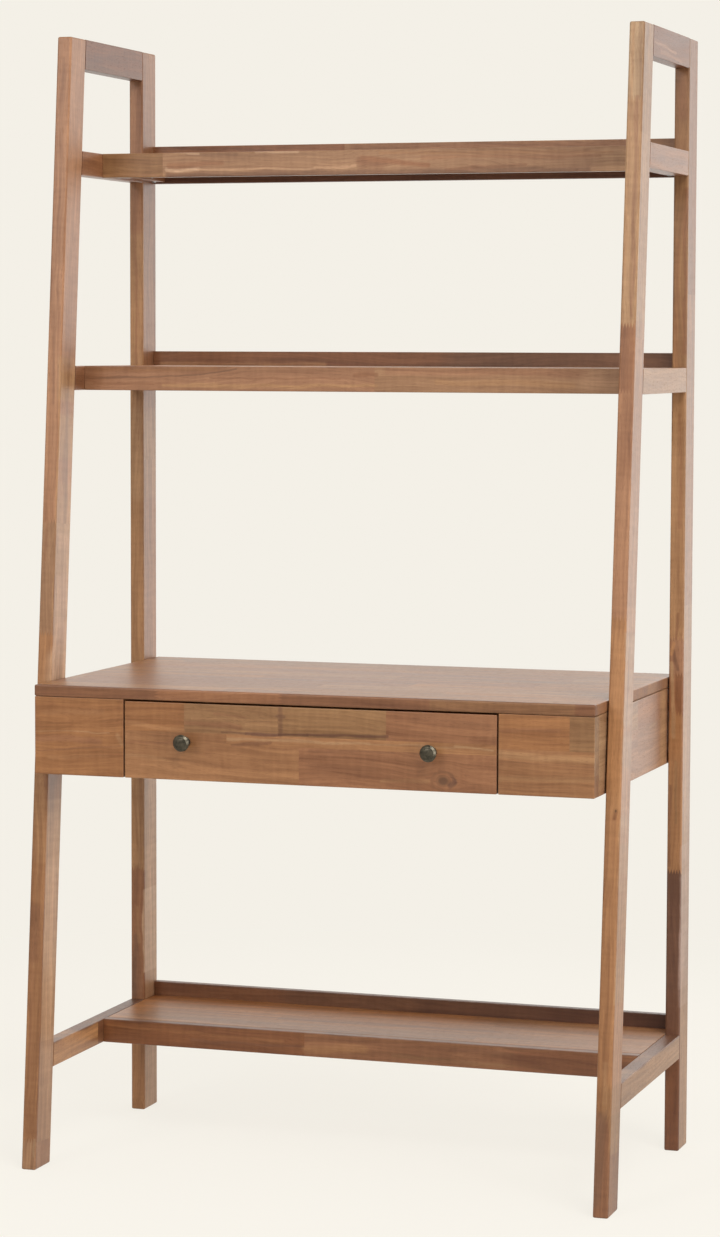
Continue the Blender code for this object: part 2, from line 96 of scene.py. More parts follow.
def shade(tree, kind, inputs, **properties):
    """Adds one shader node."""
    return plant(tree, "ShaderNode" + kind, inputs, **properties)


def calc(tree, operation, *values):
    """One sum on numbers."""
    return shade(tree, "Math", dict(enumerate(values)), operation=operation).outputs[0]


def calc_vector(tree, operation, *values):
    """One sum on vectors, with a vector as its result."""
    return shade(tree, "VectorMath", dict(enumerate(values)), operation=operation).outputs[0]


def measure(tree, operation, *vectors):
    """One sum on vectors, with a number as its result."""
    return shade(tree, "VectorMath", dict(enumerate(vectors)), operation=operation).outputs["Value"]


def fade(tree, value, low, high, start=0.0, end=1.0):
    """Goes smoothly from start to end while value goes from low to high."""
    ends = {0: value, 1: low, 2: high, 3: start, 4: end}
    return shade(tree, "MapRange", ends, interpolation_type="SMOOTHSTEP").outputs[0]


def tint(tree, share, below, above, mode="MIX"):
    """Mixes two colours."""
    parts = {0: share, 6: below, 7: above}
    return shade(tree, "Mix", parts, data_type="RGBA", blend_type=mode).outputs[2]


def cloud(tree, place, stretch, detail=2.0):
    """Noise about 0.5, stretched by its counts per metre along, across and through the grain."""
    spread = calc_vector(tree, "MULTIPLY", place, stretch)
    return shade(tree, "TexNoise", {"Vector": spread, "Scale": 1.0, "Detail": detail}).outputs


NOISE_MIDDLE = (0.5, 0.5, 0.5)
FIGURE_SPREAD = (2.0, 0.12, 0.12)
FIGURE_START = (0.0, -0.06, -0.06)
SWAY_COUNTS = (3.2, 14.0, 14.0)
SWAY_REACH = (0.0, 0.045, 0.045)
PITH_TILT = 0.035
RING_SPACING = 0.0062
LATEWOOD_RISE = (0.1, 0.8)
LATEWOOD_FALL = (1.0, 0.88)
LATEWOOD_TONE = (-0.10, 0.04)
LATEWOOD_RELIEF = 0.15
# Each layer has its counts per metre, its detail and its weight in the tone.
FIGURE_LAYERS = {
    "band": ((1.8, 42.0, 42.0), 2.0, 1.15),
    "streak": ((3.5, 150.0, 150.0), 2.0, 0.85),
    "ripple": ((130.0, 22.0, 22.0), 1.0, 0.32),
    "fibre": ((14.0, 800.0, 800.0), 1.0, 0.34),
}
MIDDLE_TONE = 0.5
FIBRE_RELIEF = 0.4
BAND_ROUGHNESS = 0.10
PORE_COUNTS = (85.0, 1300.0, 1300.0)
PORE_EDGE = (0.62, 0.74)
PORE_STRENGTH = 0.35
PORE_ROUGHNESS = 0.12
PORE_RELIEF = -0.9
OIL_ROUGHNESS = 0.33
DARK_WOOD = (0.58, 0.50, 0.44, 1.0)
PALE_WOOD = (1.42, 1.50, 1.56, 1.0)
KNOT_COLOUR = (0.055, 0.027, 0.014, 1.0)


def make_figure():
    """The figure of a stave: growth rings round a pith, broad bands, ripple, fibres and open pores."""
    tree = bpy.data.node_groups.new("acacia_figure", "ShaderNodeTree")
    for name, kind in (("Grain", "Vector"), ("Stave", "Color"), ("Shift", "Vector"), ("Knot", "Float")):
        tree.interface.new_socket(name, in_out="INPUT", socket_type="NodeSocket" + kind)
    for name, kind in (("Colour", "Color"), ("Roughness", "Float"), ("Height", "Float")):
        tree.interface.new_socket(name, in_out="OUTPUT", socket_type="NodeSocket" + kind)
    given = tree.nodes.new("NodeGroupInput").outputs
    result = tree.nodes.new("NodeGroupOutput").inputs
    moved = calc_vector(tree, "MULTIPLY_ADD", given["Shift"], FIGURE_SPREAD, FIGURE_START)
    grain = calc_vector(tree, "ADD", given["Grain"], moved)
    sway = calc_vector(tree, "SUBTRACT", cloud(tree, grain, SWAY_COUNTS)[1], NOISE_MIDDLE)
    grain = calc_vector(tree, "MULTIPLY_ADD", sway, SWAY_REACH, grain)
    axes = shade(tree, "SeparateXYZ", {0: grain}).outputs
    tilt = calc(tree, "MULTIPLY_ADD", axes[0], PITH_TILT, axes[1])
    section = shade(tree, "CombineXYZ", {0: tilt, 1: axes[2]}).outputs[0]
    ring = calc(tree, "FRACT", calc(tree, "DIVIDE", measure(tree, "LENGTH", section), RING_SPACING))
    latewood = calc(tree, "MULTIPLY", fade(tree, ring, *LATEWOOD_RISE), fade(tree, ring, *LATEWOOD_FALL))
    layers = {}
    light = MIDDLE_TONE
    for name, (counts, detail, weight) in FIGURE_LAYERS.items():
        layers[name] = cloud(tree, grain, counts, detail)[0]
        light = calc(tree, "ADD", light, calc(tree, "MULTIPLY_ADD", layers[name], weight, -weight / 2))
    light = calc(tree, "ADD", light, calc(tree, "MULTIPLY_ADD", latewood, *LATEWOOD_TONE))
    pore = fade(tree, cloud(tree, grain, PORE_COUNTS, 0.0)[0], *PORE_EDGE)
    dark = tint(tree, 1.0, given["Stave"], DARK_WOOD, "MULTIPLY")
    pale = tint(tree, 1.0, given["Stave"], PALE_WOOD, "MULTIPLY")
    colour = tint(tree, light, dark, pale)
    colour = tint(tree, calc(tree, "MULTIPLY", pore, PORE_STRENGTH), colour, dark)
    feed(tree, result["Colour"], tint(tree, given["Knot"], colour, KNOT_COLOUR))
    gloss = calc(tree, "MULTIPLY_ADD", pore, PORE_ROUGHNESS, OIL_ROUGHNESS)
    feed(tree, result["Roughness"], calc(tree, "MULTIPLY_ADD", layers["band"], BAND_ROUGHNESS, gloss))
    relief = calc(tree, "MULTIPLY", layers["fibre"], FIBRE_RELIEF)
    relief = calc(tree, "MULTIPLY_ADD", pore, PORE_RELIEF, relief)
    feed(tree, result["Height"], calc(tree, "MULTIPLY_ADD", latewood, LATEWOOD_RELIEF, relief))
    return tree


acacia_figure = make_figure()


def steps(tree, value, stops):
    """A colour that changes sharply at each (place, colour) stop, for value from 0 to 1."""
    made = shade(tree, "ValToRGB", {0: value})
    made.color_ramp.interpolation = "CONSTANT"
    places = made.color_ramp.elements
    places.remove(places[1])
    places[0].color = stops[0][1]
    for place, colour in stops[1:]:
        places.new(place).color = colour
    return made.outputs[0]


def laid(low, rows, edges=()):
    """Staves laid as listed: rows of ((far end, tone), ...), lowest first, and the edges between rows."""
    def lay(tree, along, across):
        colour = None
        for staves, edge in zip(rows, (None, *edges)):
            length = staves[-1][0] - low
            starts = [0.0] + [(end - low) / length for end, tone in staves[:-1]]
            tones = [WOOD_TONES[tone] for end, tone in staves]
            share = calc(tree, "DIVIDE", calc(tree, "SUBTRACT", along, low), length)
            row = steps(tree, share, list(zip(starts, tones)))
            if edge is None:
                colour = row
            else:
                colour = tint(tree, calc(tree, "GREATER_THAN", across, edge), colour, row)
        return colour
    return lay


# Reaches are in radii of the knot, from where the effect ends to where it is full.
KNOT_STRETCH = 1.3
KNOT_RING_COUNT = 7.5
KNOT_RING_REACH = (2.6, 1.1)
KNOT_RING_EDGE = (-0.2, 0.9)
KNOT_RING_STRENGTH = 0.26
KNOT_CORE_REACH = (1.25, 0.45)
KNOT_CORE_STRENGTH = 0.66
KNOT_PULL_REACH = (5.0, 0.6)
KNOT_PULL = 0.8


def knotted(tree, along, aside, knots):
    """Bends the grain round each (along, aside, radius) knot and darkens its core and its rings."""
    dark = 0.0
    for run, rise, radius in knots:
        ahead = calc(tree, "DIVIDE", calc(tree, "SUBTRACT", along, run), KNOT_STRETCH * radius)
        beside = calc(tree, "DIVIDE", calc(tree, "SUBTRACT", aside, rise), radius)
        square = calc(tree, "MULTIPLY_ADD", ahead, ahead, calc(tree, "MULTIPLY", beside, beside))
        away = calc(tree, "SQRT", square)
        wave = calc(tree, "SINE", calc(tree, "MULTIPLY", away, KNOT_RING_COUNT))
        ringed = fade(tree, away, *KNOT_RING_REACH, 0.0, KNOT_RING_STRENGTH)
        rings = calc(tree, "MULTIPLY", ringed, fade(tree, wave, *KNOT_RING_EDGE))
        core = fade(tree, away, *KNOT_CORE_REACH, 0.0, KNOT_CORE_STRENGTH)
        dark = calc(tree, "MAXIMUM", dark, calc(tree, "MAXIMUM", rings, core))
        pull = fade(tree, away, *KNOT_PULL_REACH, 0.0, -KNOT_PULL * radius)
        aside = calc(tree, "ADD", aside, calc(tree, "MULTIPLY", beside, pull))
    return aside, dark


STREAK_WAVER_COUNTS = (16.0, 45.0, 0.0)
STREAK_WAVER = (0.0, 0.011, 0.0)
STREAK_FULL = 0.2


def streak_and_shade(tree, along, aside, colour, streaks_and_shading):
    """Lays soft wavering streaks, each (start, end, half width, tone, strength), over the staves. Some are
    grain, and some are painted shade and painted light.
    """
    spot = shade(tree, "CombineXYZ", {0: along, 1: aside}).outputs[0]
    waver = calc_vector(tree, "SUBTRACT", cloud(tree, spot, STREAK_WAVER_COUNTS)[1], NOISE_MIDDLE)
    spot = calc_vector(tree, "MULTIPLY_ADD", waver, STREAK_WAVER, spot)
    for start, end, reach, tone, strength in streaks_and_shading:
        run = (end[0] - start[0], end[1] - start[1], 0.0)
        gone = calc_vector(tree, "SUBTRACT", spot, (*start, 0.0))
        share = {0: measure(tree, "DOT_PRODUCT", gone, run), 1: run[0] ** 2 + run[1] ** 2}
        share = shade(tree, "Math", share, operation="DIVIDE", use_clamp=True).outputs[0]
        nearest = shade(tree, "VectorMath", {0: run, "Scale": share}, operation="SCALE").outputs[0]
        away = measure(tree, "DISTANCE", gone, nearest)
        cover = fade(tree, away, reach, STREAK_FULL * reach, 0.0, strength)
        colour = tint(tree, cover, colour, WOOD_TONES[tone])
    return colour


ACROSS = 1
THROUGH = 2
FINGER_LENGTH = 0.009
FINGER_PITCH = 0.0046
# Pale edges: partly wear and partly a painted highlight along the eased arrises.
EDGE_WEAR_AND_HIGHLIGHT_WIDTH = 0.0016
EDGE_WEAR_AND_HIGHLIGHT_SAMPLES = 4
EDGE_WEAR_AND_HIGHLIGHT_RANGE = (0.995, 0.85)
EDGE_WEAR_AND_HIGHLIGHT_STRENGTH = 0.10
END_GRAIN_EDGE = (0.75, 0.95)
END_GRAIN_STRENGTH = 0.35
END_GRAIN_ROUGHNESS = 0.15
GRAIN_RELIEF = {"Strength": 0.10, "Distance": 0.0003}


def wood(name, order, lay, knots=(), streaks_and_shading=(), rake=0.0, drawn=ACROSS):
    """An oiled wood finish, its edges paled partly by wear and partly by a painted highlight. order names
    the axes along, across and through the grain, and knots and streaks, some of them painted shade and
    painted light, are drawn along the grain and either across or through it."""
    material = bpy.data.materials.new(name)
    material.use_nodes = True
    tree = material.node_tree
    skin = tree.nodes["Principled BSDF"]
    spot = shade(tree, "TexCoord", {}).outputs
    place = spot["Object"]
    if rake:
        turned = {"Vector": place, "Angle": rake}
        place = shade(tree, "VectorRotate", turned, rotation_type="X_AXIS").outputs[0]
    axes = shade(tree, "SeparateXYZ", {0: place}).outputs
    grain = [axes["XYZ".index(letter)] for letter in order]
    along, across, through = grain
    finger = calc(tree, "PINGPONG", through, FINGER_PITCH / 2)
    jointed = calc(tree, "MULTIPLY_ADD", finger, 2 * FINGER_LENGTH / FINGER_PITCH, along)
    stave = lay(tree, jointed, across)
    shift = shade(tree, "TexWhiteNoise", {"Vector": stave}, noise_dimensions="3D").outputs["Color"]
    if streaks_and_shading:
        stave = streak_and_shade(tree, along, grain[drawn], stave, streaks_and_shading)
    grain[drawn], knot = knotted(tree, along, grain[drawn], knots)
    figure = shade(tree, "Group", {}, node_tree=acacia_figure)
    feed(tree, figure.inputs["Grain"], shade(tree, "CombineXYZ", dict(enumerate(grain))).outputs[0])
    feed(tree, figure.inputs["Stave"], stave)
    feed(tree, figure.inputs["Shift"], shift)
    feed(tree, figure.inputs["Knot"], knot)
    # The eased edges are mixed towards straw, partly as wear and partly as a painted highlight.
    rounded = shade(tree, "Bevel", {"Radius": EDGE_WEAR_AND_HIGHLIGHT_WIDTH}, samples=EDGE_WEAR_AND_HIGHLIGHT_SAMPLES).outputs[0]
    facing = shade(tree, "NewGeometry", {}).outputs["Normal"]
    edge = fade(tree, measure(tree, "DOT_PRODUCT", rounded, facing), *EDGE_WEAR_AND_HIGHLIGHT_RANGE)
    wear_and_highlight = calc(tree, "MULTIPLY", edge, EDGE_WEAR_AND_HIGHLIGHT_STRENGTH)
    colour = tint(tree, wear_and_highlight, figure.outputs["Colour"], WOOD_TONES["straw"])
    lengthways = shade(tree, "SeparateXYZ", {0: spot["Normal"]}).outputs["XYZ".index(order[0])]
    end_grain = fade(tree, calc(tree, "ABSOLUTE", lengthways), *END_GRAIN_EDGE)
    colour = tint(tree, calc(tree, "MULTIPLY", end_grain, END_GRAIN_STRENGTH), colour, WOOD_TONES["ash"])
    feed(tree, skin.inputs["Base Color"], colour)
    gloss = calc(tree, "MULTIPLY_ADD", end_grain, END_GRAIN_ROUGHNESS, figure.outputs["Roughness"])
    feed(tree, skin.inputs["Roughness"], gloss)
    relief = {"Height": figure.outputs["Height"], **GRAIN_RELIEF}
    feed(tree, skin.inputs["Normal"], shade(tree, "Bump", relief).outputs[0])
    return material


def dress(node, material):
    """Gives a piece of the frame its finish."""
    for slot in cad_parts[node].material_slots:
        slot.material = material


LEG_HEIGHT = 1.8
LEG_LEAN = 0.163
LEG_RAKE = math.atan(LEG_LEAN / LEG_HEIGHT)
LEG_END = 1.83
FRONT_STAVE = 0.0055
LEG_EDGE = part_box("front_leg_left")[0].y * math.cos(LEG_RAKE) + FRONT_STAVE
# The thin staves at the front come first, and then the staves behind them.
LEG_ROWS = {
    "left": (
        ((0.028, "fawn"), (0.740, "tan"), (0.830, "honey"), (1.010, "fawn"), (LEG_END, "blush")),
        ((0.028, "blush"), (1.010, "petal"), (LEG_END, "blush")),
    ),
    "right": (
        (
            (0.134, "chestnut"),
            (0.880, "honey"),
            (1.225, "blush"),
            (1.323, "russet"),
            (1.672, "straw"),
            (LEG_END, "oat"),
        ),
        ((1.315, "blush"), (LEG_END, "fawn")),
    ),
}
LEG_KNOTS = {"left": (), "right": ((0.5918, 0.4737, 0.0017),)}
LEG_STREAKS_AND_SHADING = {
    "left": (
        ((-0.02, -0.457), (0.18, -0.457), 0.0035, "rose", 0.5),
        ((0.00, -0.459), (0.026, -0.459), 0.0032, "oat", 0.5),
        ((0.30, -0.470), (0.70, -0.467), 0.0030, "wheat", 0.5),
        ((0.06, -0.474), (0.34, -0.472), 0.0040, "russet", 0.5),
        ((0.95, -0.474), (1.30, -0.472), 0.0040, "russet", 0.5),
        ((1.20, -0.468), (1.75, -0.469), 0.0036, "rose", 0.8),
        ((0.86, -0.4575), (1.25, -0.4575), 0.0016, "straw", 0.7),
        ((0.32, -0.4730), (0.39, -0.4730), 0.0200, "chestnut", 0.7),
        ((0.48, -0.4690), (0.66, -0.4690), 0.0220, "wheat", 0.6),
        # Painted shade: these three chestnut streaks darken the leg's inner face just under the desk box.
        ((0.595, -0.4570), (0.66, -0.4570), 0.0080, "chestnut", 0.3),
        ((0.572, -0.4570), (0.66, -0.4570), 0.0080, "chestnut", 0.45),
        ((0.552, -0.4570), (0.66, -0.4570), 0.0080, "chestnut", 0.25),
        # Painted light: this ivory streak lightens the leg's inner face just above the desk top.
        ((0.765, -0.4450), (0.79, -0.4450), 0.0300, "ivory", 0.8),
        ((1.21, -0.4570), (1.27, -0.4570), 0.0080, "straw", 0.6),
    ),
    "right": (
        ((0.15, 0.470), (0.21, 0.471), 0.0060, "straw", 0.4),
        ((0.00, 0.462), (0.13, 0.466), 0.0140, "walnut", 0.9),
        ((0.128, 0.4730), (0.140, 0.4738), 0.0030, "umber", 0.8),
        ((0.5800, 0.4720), (0.5920, 0.4730), 0.0036, "cocoa", 0.7),
        ((0.00, 0.4815), (0.13, 0.4815), 0.0040, "olive", 0.8),
        ((-0.03, 0.4815), (0.07, 0.4815), 0.0050, "chestnut", 0.8),
        ((0.14, 0.4800), (0.16, 0.4800), 0.0250, "olive", 0.6),
        ((1.62, 0.4815), (1.80, 0.4815), 0.0040, "olive", 0.6),
        ((1.40, 0.461), (1.78, 0.463), 0.0034, "wheat", 0.6),
        ((1.34, 0.474), (1.67, 0.472), 0.0050, "rose", 0.6),
        ((1.12, 0.469), (1.22, 0.469), 0.0500, "russet", 0.6),
        ((0.60, 0.465), (0.85, 0.465), 0.0220, "apricot", 0.8),
        ((0.90, 0.4815), (1.33, 0.4815), 0.0040, "rose", 0.6),
        ((0.60, 0.4815), (0.86, 0.4815), 0.0040, "rose", 0.6),
        ((0.30, 0.4805), (0.86, 0.4805), 0.0016, "oat", 0.35),
    ),
}
for side, rows in LEG_ROWS.items():
    leg_lay = laid(0.0, rows, (LEG_EDGE,))
    leg_marks = (LEG_KNOTS[side], LEG_STREAKS_AND_SHADING[side])
    dress("front_leg_" + side, wood("front_leg_oil_" + side, "ZYX", leg_lay, *leg_marks, LEG_RAKE, THROUGH))

# Back legs. The same stock, upright, so that the desk stands flat against a wall, with the rails
# tenoned into them. Each has one row of staves at its front face and another behind that.
BACK_LEG_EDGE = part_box("back_leg_left")[0].y + FRONT_STAVE
BACK_LEG_ROWS = {
    "left": (
        ((0.150, "honey"), (0.421, "russet"), (1.610, "wheat"), (LEG_END, "rose")),
        ((0.700, "petal"), (1.120, "blush"), (LEG_END, "rose")),
    ),
    "right": (
        (
            (0.170, "cocoa"),
            (0.458, "umber"),
            (0.720, "honey"),
            (0.785, "russet"),
            (0.838, "rose"),
            (1.262, "wheat"),
            (LEG_END, "olive"),
        ),
        ((0.900, "fawn"), (1.400, "rose"), (LEG_END, "chestnut")),
    ),
}
BACK_LEG_STREAKS_AND_SHADING = {
    "left": (
        ((0.42, -0.466), (0.62, -0.468), 0.0040, "straw", 0.5),
        ((0.62, -0.474), (1.00, -0.470), 0.0040, "olive", 0.3),
        ((1.06, -0.469), (1.19, -0.469), 0.0220, "straw", 0.9),
        # Partly a darker stave and partly painted shade under the upper shelf.
        ((1.51, -0.469), (1.59, -0.469), 0.0220, "russet", 0.8),
        ((0.46, -0.457), (0.58, -0.457), 0.0100, "fawn", 0.4),
        ((0.24, -0.4565), (0.38, -0.4565), 0.0040, "ivory", 0.8),
        ((1.28, -0.468), (1.58, -0.472), 0.0040, "russet", 0.5),
        ((0.20, -0.476), (0.30, -0.472), 0.0080, "walnut", 0.7),
        ((0.29, -0.466), (0.35, -0.470), 0.0045, "wheat", 0.5),
        ((0.36, -0.474), (0.42, -0.470), 0.0060, "chestnut", 0.6),
    ),
    "right": (
        # Painted sheen: three overlapping linen streaks pale the leg's outer face low down, graded at their
        # ends.
        ((0.30, 0.4815), (0.50, 0.4815), 0.0050, "painted_sheen", 0.2),
        ((0.27, 0.4815), (0.45, 0.4815), 0.0050, "painted_sheen", 0.25),
        ((0.24, 0.4815), (0.40, 0.4815), 0.0050, "painted_sheen", 0.2),
        ((0.47, 0.459), (0.60, 0.461), 0.0035, "chestnut", 0.8),
        ((0.54, 0.472), (0.64, 0.468), 0.0035, "olive", 0.8),
        ((0.68, 0.465), (0.80, 0.462), 0.0045, "straw", 0.9),
        ((0.79, 0.470), (0.82, 0.464), 0.0040, "umber", 0.7),
        ((0.815, 0.460), (0.832, 0.464), 0.0050, "apricot", 0.8),
        ((0.84, 0.468), (0.88, 0.472), 0.0040, "chestnut", 0.7),
        ((1.02, 0.474), (1.20, 0.470), 0.0045, "russet", 0.5),
        ((1.28, 0.462), (1.48, 0.464), 0.0060, "honey", 0.6),
        ((1.30, 0.477), (1.56, 0.477), 0.0055, "chestnut", 0.7),
        ((1.68, 0.470), (1.76, 0.470), 0.0140, "chestnut", 0.6),
    ),
}
for side, rows in BACK_LEG_ROWS.items():
    back_lay = laid(0.0, rows, (BACK_LEG_EDGE,))
    back_oil = wood("back_leg_oil_" + side, "ZYX", back_lay, (), BACK_LEG_STREAKS_AND_SHADING[side], drawn=THROUGH)
    dress("back_leg_" + side, back_oil)

# Side rails. Short acacia rails as thick as the legs, most of them cut from one stave, with
# shouldered tenons glued into the legs. The front ends follow the rake.
RAIL_END = 0.40
RAIL_STAVES = {
    "top_rail_left": ((RAIL_END, "cocoa"),),
    "top_rail_right": ((RAIL_END, "cocoa"),),
    "upper_shelf_rail_left": ((RAIL_END, "russet"),),
    "upper_shelf_rail_right": ((RAIL_END, "russet"),),
    "middle_shelf_rail_left": ((RAIL_END, "chestnut"),),
    "middle_shelf_rail_right": ((RAIL_END, "fawn"),),
    "lower_shelf_rail_left": ((0.013, "apricot"), (RAIL_END, "chestnut")),
    "lower_shelf_rail_right": ((RAIL_END, "fawn"),),
}
RAIL_STREAKS_AND_SHADING = {
    # Painted shade: this umber streak darkens the lower part of the rail's inner face.
    "top_rail_left": (((-0.08, 1.7545), (0.24, 1.7545), 0.0110, "umber", 0.8),),
    "top_rail_right": (
        ((-0.02, 1.7740), (0.12, 1.7690), 0.0045, "rose", 0.7),
        ((0.02, 1.7620), (0.16, 1.7580), 0.0040, "russet", 0.6),
    ),
    # Partly a dark stave and partly painted shade: umber streaks darken the lower rails' top faces under
    # the desk box.
    "lower_shelf_rail_left": (((-0.25, 0.1935), (0.25, 0.1935), 0.0062, "umber", 1.0),),
    "lower_shelf_rail_right": (((-0.25, 0.1930), (0.25, 0.1930), 0.0048, "umber", 1.0),),
}
for node, staves in RAIL_STAVES.items():
    rail_lay = laid(-RAIL_END, (staves,))
    dress(node, wood(node + "_oil", "YZX", rail_lay, streaks_and_shading=RAIL_STREAKS_AND_SHADING.get(node, ())))

# Shelves. Panels of edge-glued staves with a solid front board and a back board that stands up
# as a lip. The boards are one stave high, and the panels lie flush with the side rails.
SPAN_END = 0.460
SHELF_FRONT_STAVES = {
    "upper": ((-0.3465, "olive"), (SPAN_END, "fawn")),
    "middle": ((0.0405, "rose"), (SPAN_END, "fawn")),
    "lower": ((-0.1015, "cedar"), (SPAN_END, "russet")),
}
SHELF_FRONT_STREAKS_AND_SHADING = {
    "upper": (
        ((-0.455, 1.5860), (-0.348, 1.5840), 0.0040, "wheat", 0.7),
        ((-0.345, 1.5947), (-0.290, 1.5940), 0.0050, "ivory", 0.8),
        ((-0.290, 1.5938), (-0.090, 1.5918), 0.0028, "petal", 0.8),
        ((-0.090, 1.5930), (-0.022, 1.5957), 0.0038, "petal", 0.7),
        ((-0.340, 1.6010), (-0.250, 1.6030), 0.0070, "russet", 0.7),
        ((-0.310, 1.6190), (-0.225, 1.6180), 0.0060, "walnut", 0.4),
        ((-0.330, 1.6205), (-0.290, 1.6205), 0.0040, "ivory", 0.6),
        ((-0.190, 1.6200), (-0.120, 1.6200), 0.0050, "ivory", 0.6),
        # Painted shade: this walnut streak darkens the board's bottom edge.
        ((-0.342, 1.5842), (-0.024, 1.5842), 0.0080, "walnut", 0.85),
        ((-0.015, 1.6030), (0.030, 1.6020), 0.0100, "chestnut", 0.8),
        ((-0.010, 1.6080), (0.100, 1.5950), 0.0060, "russet", 1.0),
        ((-0.010, 1.5950), (0.020, 1.5930), 0.0100, "chestnut", 0.5),
        # Painted shade: this walnut streak darkens the board's bottom edge.
        ((-0.016, 1.5848), (0.360, 1.5842), 0.0080, "walnut", 0.75),
        # Painted light: this straw streak lightens the board's right end next to the leg.
        ((0.390, 1.6020), (0.455, 1.6020), 0.0300, "straw", 0.7),
        ((0.090, 1.6080), (0.380, 1.6060), 0.0045, "russet", 0.6),
        ((0.130, 1.5880), (0.260, 1.5935), 0.0040, "chestnut", 0.7),
        ((0.020, 1.6160), (0.400, 1.6120), 0.0040, "honey", 0.5),
    ),
    "middle": (
        ((-0.455, 1.2560), (-0.257, 1.2605), 0.0022, "walnut", 0.7),
        ((-0.257, 1.2605), (-0.195, 1.2740), 0.0020, "walnut", 0.7),
        ((-0.440, 1.2680), (-0.230, 1.2720), 0.0050, "honey", 0.5),
        ((-0.440, 1.2480), (-0.300, 1.2460), 0.0040, "chestnut", 0.5),
        ((-0.320, 1.2440), (0.040, 1.2470), 0.0045, "wheat", 0.8),
        ((-0.240, 1.2560), (-0.020, 1.2590), 0.0022, "chestnut", 0.7),
        ((0.005, 1.2640), (0.040, 1.2630), 0.0055, "chestnut", 0.8),
        ((0.140, 1.2530), (0.360, 1.2500), 0.0070, "wheat", 0.6),
        ((0.060, 1.2700), (0.380, 1.2690), 0.0110, "rose", 1.0),
        # Painted light: this petal streak lightens the board's right end, where the right leg's shadow
        # falls.
        ((0.390, 1.2565), (0.455, 1.2565), 0.0300, "petal", 0.7),
        # Painted shade: this chestnut streak darkens the board's left end beside the left leg.
        ((-0.456, 1.2570), (-0.440, 1.2570), 0.0220, "chestnut", 0.5),
    ),
    "lower": (
        ((-0.450, 0.1800), (-0.140, 0.1760), 0.0035, "amber", 0.5),
        ((-0.300, 0.1660), (-0.105, 0.1680), 0.0040, "umber", 0.4),
        ((-0.100, 0.1640), (0.000, 0.1720), 0.0100, "honey", 0.8),
        ((0.050, 0.1640), (0.300, 0.1600), 0.0055, "olive", 0.5),
        ((0.150, 0.1820), (0.450, 0.1780), 0.0070, "chestnut", 0.8),
        ((0.270, 0.1720), (0.410, 0.1720), 0.0400, "cocoa", 0.75),
        # Painted shade: an umber line darkens the board's top edge along the panel.
        ((-0.460, 0.1925), (0.460, 0.1925), 0.0026, "umber", 0.6),
    ),
}
# The back boards' chestnut staves and dark streaks are partly the wood's own darker tone and partly painted
# shade, where the boards above keep light off the lips.
SHELF_LIP_STAVES_AND_SHADE = {
    "upper": ((-0.109, "chestnut"), (SPAN_END, "fawn")),
    "middle": ((SPAN_END, "chestnut"),),
    "lower": ((SPAN_END, "chestnut"),),
}
SHELF_LIP_STREAKS_AND_SHADE = {
    "upper": (
        ((-0.10, 1.6380), (0.38, 1.6380), 0.0080, "chestnut", 0.5),
        ((-0.45, 1.6420), (-0.24, 1.6360), 0.0040, "umber", 0.7),
        # Painted shade: this umber streak darkens the back board's face below the panel, seen under the
        # front board.
        ((-0.46, 1.5880), (0.46, 1.5880), 0.0240, "umber", 1.0),
    ),
    "middle": (
        ((0.10, 1.2880), (0.46, 1.2880), 0.0600, "walnut", 0.9),
        ((-0.44, 1.2770), (-0.15, 1.2770), 0.0080, "wheat", 0.8),
    ),
    "lower": (
        ((-0.20, 0.2100), (0.46, 0.2000), 0.0400, "walnut", 0.8),
        ((-0.46, 0.2160), (0.46, 0.2160), 0.0060, "umber", 0.7),
        ((0.36, 0.2000), (0.46, 0.2000), 0.3000, "ebony", 0.9),
        ((0.05, 0.2000), (0.16, 0.2000), 0.0500, "ebony", 0.5),
    ),
}
# Partly a warmer wood tone and partly painted light: copper streaks lift the panels' left back, where the
# lip's shade falls.
SHELF_PANEL_WARMTH_AND_LIGHT = {
    "upper": (),
    "middle": (((-0.44, 0.1500), (-0.15, 0.1500), 0.2000, "copper_painted_light", 0.8),),
    "lower": (
        ((-0.44, 0.2450), (0.05, 0.2450), 0.1500, "copper_painted_light", 0.8),
        ((-0.455, 0.0600), (-0.440, 0.2000), 0.0500, "copper_painted_light", 0.6),
    ),
}
SHELF_TONES = ("amber", "honey", "amber", "tan", "honey", "amber")
SHELF_STAVE = (0.046, 0.34)
SHELF_SEED = 3
ROW_SHIFT = 0.31
SLIDE_SHIFT = 7.3
SLIDE_REACH = 50.0
JOINT_SCATTER = 0.7
LEVEL_SPREAD = 0.12
LOWEST_LEVEL = 0.94


def scattered(width, length, seed, tones):
    """Staves of about one width and length, in rows whose joints and tones fall at random."""
    def lay(tree, along, across):
        row = calc(tree, "FLOOR", calc(tree, "MULTIPLY_ADD", across, 1.0 / width, ROW_SHIFT * seed))
        turn = {"W": calc(tree, "ADD", row, SLIDE_SHIFT * seed)}
        slide = shade(tree, "TexWhiteNoise", turn, noise_dimensions="1D").outputs["Value"]
        run = calc(tree, "MULTIPLY_ADD", slide, SLIDE_REACH, calc(tree, "DIVIDE", along, length))
        cell = {"W": run, "Scale": 1.0, "Randomness": JOINT_SCATTER}
        cell = shade(tree, "TexVoronoi", cell, voronoi_dimensions="1D").outputs["Color"]
        chance = shade(tree, "SeparateColor", {0: cell}).outputs
        stops = [(place / len(tones), WOOD_TONES[tone]) for place, tone in enumerate(tones)]
        colour = steps(tree, chance[0], stops)
        level = calc(tree, "MULTIPLY_ADD", chance[1], LEVEL_SPREAD, LOWEST_LEVEL)
        level = shade(tree, "CombineColor", {0: level, 1: level, 2: level}).outputs[0]
        return tint(tree, 1.0, colour, level, "MULTIPLY")
    return lay


